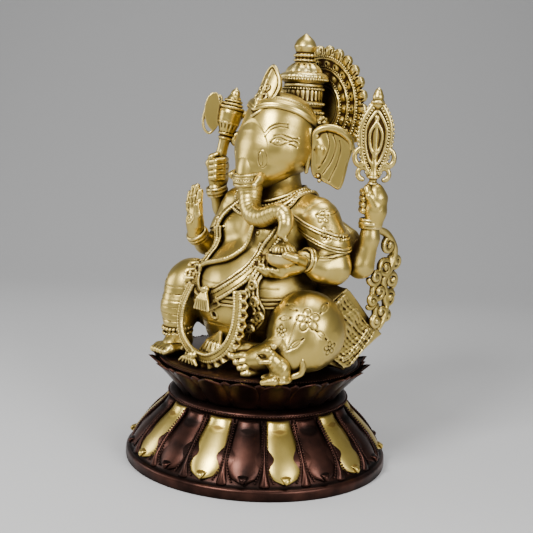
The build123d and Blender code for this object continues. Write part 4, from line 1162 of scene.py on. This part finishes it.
def model_hands():
    """One open palm, one hand under the bowl and two closed fists."""
    palm = Clay((-116, -66, 144), (-68, -30, 224), GRAIN * 0.7)
    palm.ball((-91, -45, 172), (15, 7.5, 19)).rod([(-92, -42, 150, 10), (-91, -44, 164, 11)], soft=8)
    for k, (across, top) in enumerate(((-101.5, 204), (-94.5, 212), (-87.5, 214), (-80.5, 208))):
        palm.rod([(across, -46, 182, 4.8), (across + 0.3, -47.5, top - 14, 4.5),
                  (across + 0.5, -46, top, 3.8)], soft=1.6)
        palm.score(palm.onto(arc((across, -50, top - 16), 4.6, 180, 360, ((1, 0, 0), (0, 0, 1)), 8)), 0.6,
                   0.6)
        palm.score(palm.onto(arc((across, -50, top - 7), 4.6, 180, 360, ((1, 0, 0), (0, 0, 1)), 8)), 0.6, 0.6)
    palm.rod([(-82, -47, 164, 6.5), (-76, -51, 178, 5.2), (-77, -53, 190, 4.4)], soft=2.5)
    angles = np.linspace(0, 4.2 * np.pi, 70)
    spiral = np.column_stack([-92 + 8.2 * angles / angles[-1] * np.cos(angles), np.full(70, -54.0),
                              172 + 8.2 * angles / angles[-1] * np.sin(angles)])
    palm.score(palm.onto(spiral), 0.8, -1.1)
    palm.cast("hand_blessing", ["right_front_hand"], BRASS)

    hand = Clay((54, -72, 112), (112, 0, 158), GRAIN * 0.7)
    hand.rod([(92, -14, 139, 11), (88, -28, 135, 11), (82, -40, 131, 11)], soft=4)
    for k in range(4):
        hand.rod([(87 - 5 * k, -30 - 3 * k, 128, 5.4), (82 - 6 * k, -45 - 3 * k, 124, 5.0),
                  (76 - 7 * k, -54 - k, 128, 4.2)], soft=2.5)
    hand.rod([(98, -26, 140, 6), (99, -40, 145, 5.4), (95, -52, 149, 4.6)], soft=2)
    hand.cast("hand_offering", ["left_front_hand"], BRASS)

    for name, node, (cx, cy, cz), turn, lean in (("hand_noose", "left_rear_hand", (126, 58, 214), 215, 1),
                                                 ("hand_axe", "right_rear_hand", (-104, 0, 236), 300, -1)):
        low = np.array((cx - 24, cy - 24, cz - 32))
        fist = Clay(low, low + (48, 48, 66), GRAIN * 0.7)
        front = math.radians(turn)
        away = np.array((math.cos(front), math.sin(front), 0))
        across = lean * np.array((-away[1], away[0], 0))

        def spot(a, c, z, r):
            return (*(np.array((cx, cy, cz + z)) + a * away + c * across), r)

        fist.rod([spot(-4, 0, -27, 11), spot(-5, 0, -12, 13), spot(-5, 0, 4, 13), spot(-4, 0, 13, 9)], soft=5)
        for k in range(4):
            rise = 12 - 7.2 * k
            fist.rod([spot(-4, -9, rise, 5.2), spot(6, -10, rise - 1, 5.0), spot(12, -3, rise - 2, 4.6),
                      spot(9, 5, rise - 3, 4.0)], soft=1.4)
        fist.rod([spot(-6, 9, -6, 6), spot(2, 11, 6, 5), spot(6, 6, 15, 4.4), spot(4, -1, 19, 3.8)], soft=2)
        fist.cast(name, [node], BRASS)


# ---- what the hands hold ------------------------------------------------------------------------
def model_bowl():
    """A small bowl and the pleated sweet in it."""
    outer = rounded([(4, 129), (13, 132), (19, 138), (21, 145), (21, 148.5)], 1)
    inner = [(18.6, 148.5), (16, 141), (10, 136), (0.5, 135), (0.5, 129)]
    spun("bowl_cup", on_seat(outer + inner), ["bowl"], BRASS, (78, -40), 60)
    sweets = Clay((58, -60, 138), (98, -20, 166), GRAIN * 0.6)
    sweets.ball((76, -37, 149), (14.5, 14.5, 12))
    x, y, z = sweets.everywhere()
    turn = np.arctan2(y + 40 + 0 * x, x - 78 + 0 * y)
    sweets.gap -= (0.7 * np.cos(14 * turn + 0.25 * (z - 150)) * (z < 157)).astype(np.float32)
    sweets.ball((78, -40, 159), (3, 3, 3.5), 1.5)
    sweets.keep(141 - z + 0 * x + 0 * y)
    sweets.cast("sweet_dumpling", ["sweets"], BRASS)


def model_axe():
    """A fluted shaft with a thin blade and a hook."""
    foot, tip = np.array((-104, 0, 232.0)), np.array((-92, 18, 344.0))
    run = unit(tip - foot)

    def at(share):
        return foot + (tip - foot) * share

    clay = Clay((-136, -40, 226), (-66, 60, 348), GRAIN * 0.8)
    clay.rod([(*at(0), 5.4), (*at(0.22), 7.0), (*at(0.40), 7.6), (*at(0.52), 11), (*at(0.62), 14.6),
              (*at(0.70), 15.2), (*at(0.76), 12),
              (*at(0.84), 10), (*at(0.88), 6)], soft=2)
    side = unit(np.cross(run, (0.5, -0.8, 0)))
    axes = (side, np.cross(run, side))
    for share, radius, thick in ((0.40, 8.2, 1.4), (0.45, 9.4, 1.4), (0.58, 13.4, 1.3), (0.76, 14.5, 1.8),
                                 (0.80, 12.5, 1.6), (0.84, 11, 1.5)):
        loop = arc(at(share), radius, 0, 360, axes, 28)
        clay.rod(wire(loop, thick), soft=1.0)
    clay.rod([(*at(0.88), 6.5), (*at(0.93), 6.2), (*at(0.985), 1.8)], soft=1)
    for k in range(14):
        angle = 2 * np.pi * k / 14
        way = math.cos(angle) * axes[0] + math.sin(angle) * axes[1]
        clay.rod([(*(at(0.47) + 8.6 * way), 1.5), (*(at(0.56) + 12 * way), 2.0)], soft=0.8)
    blade_way = unit(np.array((-0.62, -0.72, 0.0)))
    outline = smooth_line([(10, -6, 0), (14, -14, 0), (22, -26, 0), (31, -20, 0), (35, -6, 0), (34, 8, 0),
                           (28, 20, 0), (19, 24, 0), (15, 14, 0),
                           (10, 6, 0), (10, -6, 0)], 2.0)[:-1, :2]
    slab(clay, outline, at(0.68), (blade_way, run), 2.4, soft=1.5)
    edge = [at(0.68) + u * blade_way + v * run for u, v in outline[6:-6]]
    clay.rod(wire(edge, 1.6), soft=1)
    for centre, size, start, stop in ((at(0.56) - 20 * blade_way, (10, 15), 170, -70),
                                      (at(0.40) - 17 * blade_way, (5, 6), 60, 300)):
        hook = arc(centre, size, start, stop, (-blade_way, run), 20)
        clay.rod(wire(hook, np.linspace(3.0, 4.6, 20)), soft=2)
    clay.cast("axe_head", ["axe"], BRASS)


def model_noose():
    """A looped plate on a stem, with curls and beads."""
    centre = np.array((126, 57, 289.0))
    side, up = unit(np.array((0.66, 0.75, 0.0))), np.array((0, 0, 1.0))

    def on(u, v, lift=0.0):
        return centre + u * side + v * up + lift * np.cross(side, up)

    clay = Clay((94, 26, 226), (158, 90, 352), GRAIN * 0.8)
    outer = smooth_line([(0, -46, 0), (8, -38, 0), (15, -20, 0), (18, 0, 0), (17, 18, 0), (10, 34, 0),
                         (0, 46, 0), (-10, 34, 0),
                         (-17, 18, 0), (-18, 0, 0), (-15, -20, 0), (-8, -38, 0), (0, -46, 0)], 2.0)[:, :2]
    slab(clay, outer[:-1] * (0.9, 0.95), centre, (side, up), 1.6)
    for size, lift, thick in ((1.0, 0, 2.6), (0.72, 1.6, 1.6), (0.42, 2.2, 1.5)):
        line = [on(u * size, v * size, lift) for u, v in outer]
        clay.rod(wire(line, thick), soft=1)
    clay.rod([(*on(0, -70), 4.5), (*on(0, -52), 4.2), (*on(0, -44), 5.5), (*on(0, -20, 1), 3),
              (*on(0, 26, 1), 2.2)], soft=2)
    clay.rod([(*on(0, 42), 6), (*on(0, 50), 6.5), (*on(0, 56), 4.6), (*on(0, 60), 1.5)], soft=1.5)
    for v, radius in ((44, 8), (-46, 7), (-54, 6)):
        loop = arc(on(0, v), radius - 1.5, 0, 360, (side, np.cross(side, up)), 24)
        clay.rod(wire(loop, 1.8), soft=0.8)
    for way in (-1, 1):
        curl = arc(on(way * 17, -22), (7, 10), -120, 150, (way * side, up), 20)
        clay.rod(wire(curl, np.linspace(3.4, 1.8, 20)), soft=1.5)
        curl = arc(on(way * 13, -42), (6, 7), -90, 200, (way * side, up), 18)
        clay.rod(wire(curl, np.linspace(3.0, 1.6, 18)), soft=1.5)
    clay.cast("noose_plate", ["noose"], BRASS)
    line = np.array([on(u * 0.86, v * 0.9, 2.4) for u, v in outer])
    beads("noose_beads", spaced(line, 3.6), 1.5)
    line = np.array([on(u * 1.14, v * 1.06) for u, v in outer[4:-4]])
    beads("noose_edge_beads", spaced(line, 5.0), 2.3)


# ---- cloth --------------------------------------------------------------------------------------
def cords(half, thick, cord, wave=0.0):
    """A ribbon's section with a twisted cord along each edge."""
    def section(u, v, run):
        v = v - wave * np.sin(run * 0.42)
        flat = np.hypot(np.maximum(np.abs(u) - half, 0), np.maximum(np.abs(v) - thick / 2, 0)) - 0.6
        edges = np.hypot(np.abs(u) - half, v - 0.6) - cord * (1 + 0.14
                                                              * np.sin(run * 1.9 + 2 * np.arctan2(v, u)))
        return np.minimum(flat, edges)
    return section


def frill(line, out, drop, clay, width, wave=3.0, count=0.42):
    """A gathered hem hanging beside a line."""
    side = unit(np.cross(np.gradient(line, axis=0), out))
    hem = line + side * drop
    clay.sweep(hem, out, width / 2 + wave + 5,
               lambda u, v, run: np.hypot(np.maximum(np.abs(u) - width / 2, 0),
                                          np.maximum(np.abs(v - wave * np.sin(run * count)
                                                            * np.clip(0.5 + u / width * np.sign(drop), 0,
                                                                      1.2)) - 0.9, 0)) - 0.7, 1.0)
    return hem


UPPER = [(-30, -14, 204), (-38, -34, 184), (-48, -50, 160), (-54, -64, 130), (-50, -76, 100),
         (-34, -84, 82), (-12, -88, 80),
         (10, -86, 88), (30, -76, 102), (44, -62, 120), (50, -46, 146), (52, -32, 164), (56, -22, 180)]
LOWER = [(-40, -85, 96), (-46, -93, 70), (-45, -97, 45), (-31, -101, 27), (-4, -104, 15), (24, -103, 15),
         (45, -96, 31), (51, -89, 51),
         (50, -84, 74), (44, -80, 100)]


def model_shawls():
    """The shawl over the chest, the lower one across the lap, and the tassels."""
    clay = Clay((-92, -124, -2), (86, 10, 216))
    line, out = draped(UPPER, 4.0)
    clay.sweep(line, out, 12, cords(5.5, 2.4, 2.4), 0.8)
    inner, inward = draped([(x * 0.86 + 2, y, z + 9) for x, y, z in UPPER[2:-2]], 3.0)
    clay.sweep(inner, inward, 9, cords(3.4, 2.0, 1.5), 0.8)
    side = draped([(x - 11, y - 1, z - 6) for x, y, z in UPPER[1:6]], 3.0)
    frill(*side, -3, clay, 12, 2.8, 0.5)
    under = draped([(-44, -84, 74), (-24, -90, 68), (0, -92, 72), (22, -86, 84)], 3.0)
    frill(*under, -2, clay, 11, 2.6, 0.5)
    right = draped([(50, -46, 140), (53, -50, 127), (49, -58, 109), (54, -62, 91), (64, -60, 73),
                    (58, -66, 56), (46, -76, 40)], 4.0)
    frill(*right, 2, clay, 13, 3.0, 0.45)
    for drop in (-5, 0, 5):
        edge = right[0] + drop * unit(np.cross(np.gradient(right[0], axis=0), right[1]))
        clay.rod(np.column_stack([edge + right[1] * 1.5, np.full(len(edge), 1.5)]), soft=1)
    for height, size in ((128, 6), (108, 7), (88, 7), (70, 6.5), (54, 6)):
        here = right[0][np.argmin(np.abs(right[0][:, 2] - height))]
        curl = [(here[0] + 4 + size * (1 - t * 0.7) * math.cos(9 * t), here[1] - 5,
                 here[2] + size * (1 - t * 0.7) * math.sin(9 * t), 2.4 - t)
                for t in np.linspace(0, 1, 18)]
        clay.rod(curl, soft=1)
    clay.cast("shawl_upper", ["upper_shawl"], BRASS)
    clay = Clay((-70, -124, -3), (76, -60, 118))
    line = smooth_line(LOWER)
    out = unit(line - (0, -30, 60)) * (0.25, 1, 0.25)
    clay.sweep(line, out, 12, cords(4.6, 3.0, 2.3), 0.8)
    hem = slice(len(line) // 3, None)
    frill(line[hem], out[hem], 8, clay, 9, 2.6, 0.55)
    clay.rod([(-4, -104, 15, 6), (-2, -106, 13, 6)], soft=2)
    clay.stand()
    clay.cast("shawl_lower", ["lower_shawl"], BRASS)
    tassels = Clay((-48, -124, -3), (34, -84, 112), GRAIN * 0.8)
    for root, spread, drop in (((1, -96, 96), 17, 24), ((-6, -108, 13), 22, 9)):
        tassels.ball(root, 5.5)
        for k in range(6):
            share = k / 5 - 0.5
            tassels.rod([(*root, 3), (root[0] + spread * share, root[1] - 4, root[2] - drop * 0.5, 2.6),
                         (root[0] + 1.5 * spread * share, root[1] - 5, root[2] - drop, 2.2)], soft=0.8)
    tassels.stand()
    tassels.cast("shawl_fringes", ["shawl_tassels"], BRASS)


def model_naga():
    """The snake worn as a thread across the belly."""
    line, out = draped([(28, -40, 182), (26, -44, 164), (20, -58, 146), (10, -68, 134), (-8, -72, 127),
                        (-28, -70, 120),
                        (-40, -68, 114)], 5.0)
    clay = Clay((-60, -96, 92), (44, -20, 192), GRAIN * 0.8)
    clay.sweep(line, out, 8, lambda u, v, run: np.hypot(u, v) - 3.6 + 0.5 * np.abs(np.sin(run * 0.9)), 0.6)
    head = line[-1]
    clay.ball(head + (-3, -3, -4), (7, 4, 8), 2)
    clay.ball(head + (-3, -7, -4), (4, 3, 5), 1, carve=True)
    clay.cast("naga_cord", ["naga_thread"], BRASS)


def model_collar():
    """Four rows round the neck, two of them edged with beads."""
    clay = Clay((-72, -62, 176), (72, 70, 236))
    for lift, height, thick in ((2.2, 0, 2.6), (2.4, -6, 2.2), (2.2, -12, 2.6), (2.2, -18, 2.0)):
        spread = 1 - 0.012 * height
        loop = [(x * spread, y * spread, z + height) for x, y, z in
                ((0, -34, 208), (26, -26, 212), (42, -4, 218), (40, 24, 220), (0, 48, 220), (-40, 24, 220),
                 (-42, -4, 218), (-26, -26, 212),
                 (0, -34, 208), (26, -26, 212))]
        line, out = draped(loop, lift)
        line = line[:int(len(line) * 0.9)]
        clay.rod(wire(line, thick), soft=1.0)
        if height in (-6, -18):
            beads(f"collar_beads_{-height}", spaced(line + out[:len(line)] * 1.6, 4.4), 2.0)
    clay.cast("collar_rings", ["collar"], BRASS)


def model_bolster():
    """The cushion behind the figure and the cloth over its end."""
    corners = [(35, 106), (106, 40), (36, 2), (-20, 24), (-36, 67)]
    clay = Clay((-114, -44, -3), (124, 112, 112), GRAIN * 1.3)
    slab(clay, corners, (18, 0, 0), ((0, 1, 0), (0, 0, 1)), 98)
    x, y, z = clay.everywhere()
    sag = 2.5 * np.sin(x * 0.055) + 1.2 * np.sin(x * 0.17 + y * 0.08)
    clay.gap += (sag * 0.5).astype(np.float32)
    clay.stand(1.0)
    clay.roughen(0.2, 0.3).cast("bolster_block", ["bolster"], BRASS)
    cloth = Clay((112, -30, 2), (130, 110, 108), GRAIN * 0.9)
    outline = [(26, 101), (50, 78), (82, 48), (72, 36), (44, 12), (30, 8), (-14, 40), (-24, 66)]
    slab(cloth, outline, (119, 0, 0), ((0, 1, 0), (0, 0, 1)), 2.6, lambda u,
         v: 1.6 * np.sin(0.16 * (u * 0.62 - v * 0.78)))
    for share in (0.0, 0.12, 0.17):
        line = smooth_line([(122.4, y0 * (1 - share) + 8 * share, z0 * (1 - share) + 80 * share) for y0,
                            z0 in outline[2:6]], 1.5)
        cloth.rod(wire(line, 1.5), soft=1)
    cloth.roughen(0.5, 0.9)
    cloth.cast("bolster_cloth", ["bolster_drapes"], BRASS)


def model_scrolls():
    """Openwork curls of scarf, one on each side."""
    for side in (1, -1):
        clay = Clay((104 if side > 0 else -138, 54, 40), (138 if side > 0 else -104, 128, 192), GRAIN * 0.9)
        path = [(side * x, y, z, r) for x, y, z, r in ((118, 72, 178, 4), (122, 92, 172, 5),
                                                       (123, 108, 152, 5), (122, 104, 130, 5.5),
                                                       (121, 92, 112, 5.5), (122, 100, 90, 5),
                                                       (124, 96, 66, 4.5), (124, 88, 52, 3.5))]
        clay.rod(smooth_line(path, 3.0), soft=1)
        for y, z, size, start in ((96, 156, 11, 0), (112, 136, 10, 150), (92, 128, 11, 40),
                                  (76, 118, 10, 200), (106, 112, 11, 300), (84, 98, 12, 90),
                                  (104, 88, 11, 20), (72, 88, 9, 250), (90, 72, 10, 120), (100, 66, 8, 330),
                                  (82, 60, 7, 60)):
            curl = [(side * (121 + 5 * t), y + size * (1 - t * 0.75)
                     * math.cos(math.radians(start + 460 * t)),
                     z + size * (1 - t * 0.75) * math.sin(math.radians(start + 460 * t)),
                     3.6 - 1.4 * t) for t in np.linspace(0, 1, 24)]
            clay.rod(curl, soft=2)
            clay.ball((side * 125, y, z), 3.2, 1)
        clay.cast("scroll_left" if side > 0 else "scroll_right",
                  ["left_scarf_scroll" if side > 0 else "right_scarf_scroll"], BRASS)


def model_mouse():
    """The small mouse sitting up at the left foot."""
    clay = Clay((84, -104, -2), (142, -38, 52), GRAIN * 0.7)
    clay.ball((113, -68, 16), (13, 12, 16)).ball((112, -70, 5), (17, 16, 6), soft=5)
    clay.ball((108, -76, 27), (9, 9, 11), soft=5).ball((104, -80, 38), (7.5, 7, 6.5), soft=3)
    clay.rod([(102, -82, 38, 5), (95, -88, 35, 2.4)], soft=3)
    for off in ((8, 0), (-1, 8)):
        clay.ball((106 + off[0] * 0.6, -76 + off[1] * 0.4 - 2, 45), (3.6, 3.6, 4), 1)
    for sx, sy in ((4, -4), (-4, 4)):
        clay.rod([(106 + sx, -80 + sy, 27, 3.4), (99 + sx, -87 + sy, 26, 2.6),
                  (96 + sx, -89 + sy, 30, 2.4)], soft=1.5)
        clay.rod([(112 + 2.4 * sx, -76 + 2.4 * sy, 7, 6), (104 + 2 * sx, -86 + 2 * sy, 4, 3.6)], soft=2)
    clay.rod(smooth_line([(122, -58, 8, 3.6), (130, -50, 14, 3.4), (130, -50, 28, 3.0), (125, -54, 38, 2.6),
                          (121, -60, 44, 2.0)], 2), soft=1.5)
    clay.stand()
    clay.roughen(0.15, 1.2).cast("mouse_begging", ["mouse"], BRASS)


# ---- the whole idol -----------------------------------------------------------------------------
def repaint(names, metal):
    """Give CAD pieces that stay as they are a finer metal."""
    for name in names:
        for slot in CAD[name].material_slots:
            slot.material = metal


def stage_set():
    """Floor, lights and camera."""
    floor_mesh = bpy.data.meshes.new("floor")
    away, across = np.array((-0.743, 0.669)), np.array((0.669, 0.743))
    profile = [(-4.0, 0.0), (1.2, 0.0)] + [(1.2 + 1.4 * math.sin(t),
                                            1.4 - 1.4 * math.cos(t)) for t in np.linspace(0.1, 1.57,
                                                                                          16)] + [(2.6, 5.0)]
    corners = [(*(s * away + w * across), z) for s, z in profile for w in (-5, 5)]
    floor_mesh.from_pydata(corners, [], [(2 * i, 2 * i + 1, 2 * i + 3,
                                          2 * i + 2) for i in range(len(profile) - 1)])
    floor_mesh.shade_smooth()
    plain = bpy.data.materials.new("studio")
    plain.use_nodes = True
    plain.node_tree.nodes["Principled BSDF"].inputs["Base Color"].default_value = (0.47, 0.47, 0.47, 1)
    plain.node_tree.nodes["Principled BSDF"].inputs["Roughness"].default_value = 0.9
    floor_mesh.materials.append(plain)
    floor = bpy.data.objects.new("floor", floor_mesh)
    bpy.context.scene.collection.objects.link(floor)
    world = bpy.data.worlds.new("room")
    world.use_nodes = True
    world.node_tree.nodes["Background"].inputs[0].default_value = (0.50, 0.50, 0.51, 1)
    world.node_tree.nodes["Background"].inputs[1].default_value = 0.42
    bpy.context.scene.world = world
    aim = Vector((0, 0, 0.28))
    for name, place, size, power in (("key", (0.35, -1.5, 1.5), 0.7, 52), ("side", (1.9, -0.1, 1.0), 0.9, 30),
                                     ("fill", (-1.5, -1.3, 0.7), 1.0, 14), ("top", (0.1, 0.3, 1.9), 0.8, 18)):
        light = bpy.data.lights.new(name, "AREA")
        light.shape, light.size, light.energy = "DISK", size, power
        lamp = bpy.data.objects.new(name, light)
        look = (aim - Vector(place)).to_track_quat("-Z", "Y").to_matrix().to_4x4()
        lamp.matrix_world = Matrix.Translation(place) @ look
        bpy.context.scene.collection.objects.link(lamp)
    right, up, back = (0.6641, 0.7459, 0.0500), (-0.1492, 0.0667, 0.9866), (0.7326, -0.6627, 0.1556)
    lens = bpy.data.cameras.new("camera")
    lens.lens, lens.sensor_width = 68.08, 36
    camera = bpy.data.objects.new("camera", lens)
    camera.matrix_world = Matrix.Translation((0.953, -0.8581, 0.4529)) @ Matrix((right, up,
                                                                                 back)).transposed().to_4x4()
    bpy.context.scene.collection.objects.link(camera)
    bpy.context.scene.camera = camera


CAD = {piece.name: piece for piece in bpy.context.scene.objects}
repaint(("tie_bolt", "tie_washer", "halo_stud", "halo_nut"), STEEL)
stage_set()
for model in (model_pedestal, model_body, model_legs, model_pleats, model_head, model_ears, model_crown,
              model_diadem,
              model_halo, model_arms, model_armlets, model_hands, model_bowl, model_axe, model_noose,
              model_shawls,
              model_naga, model_collar, model_bolster, model_scrolls, model_mouse):
    model()
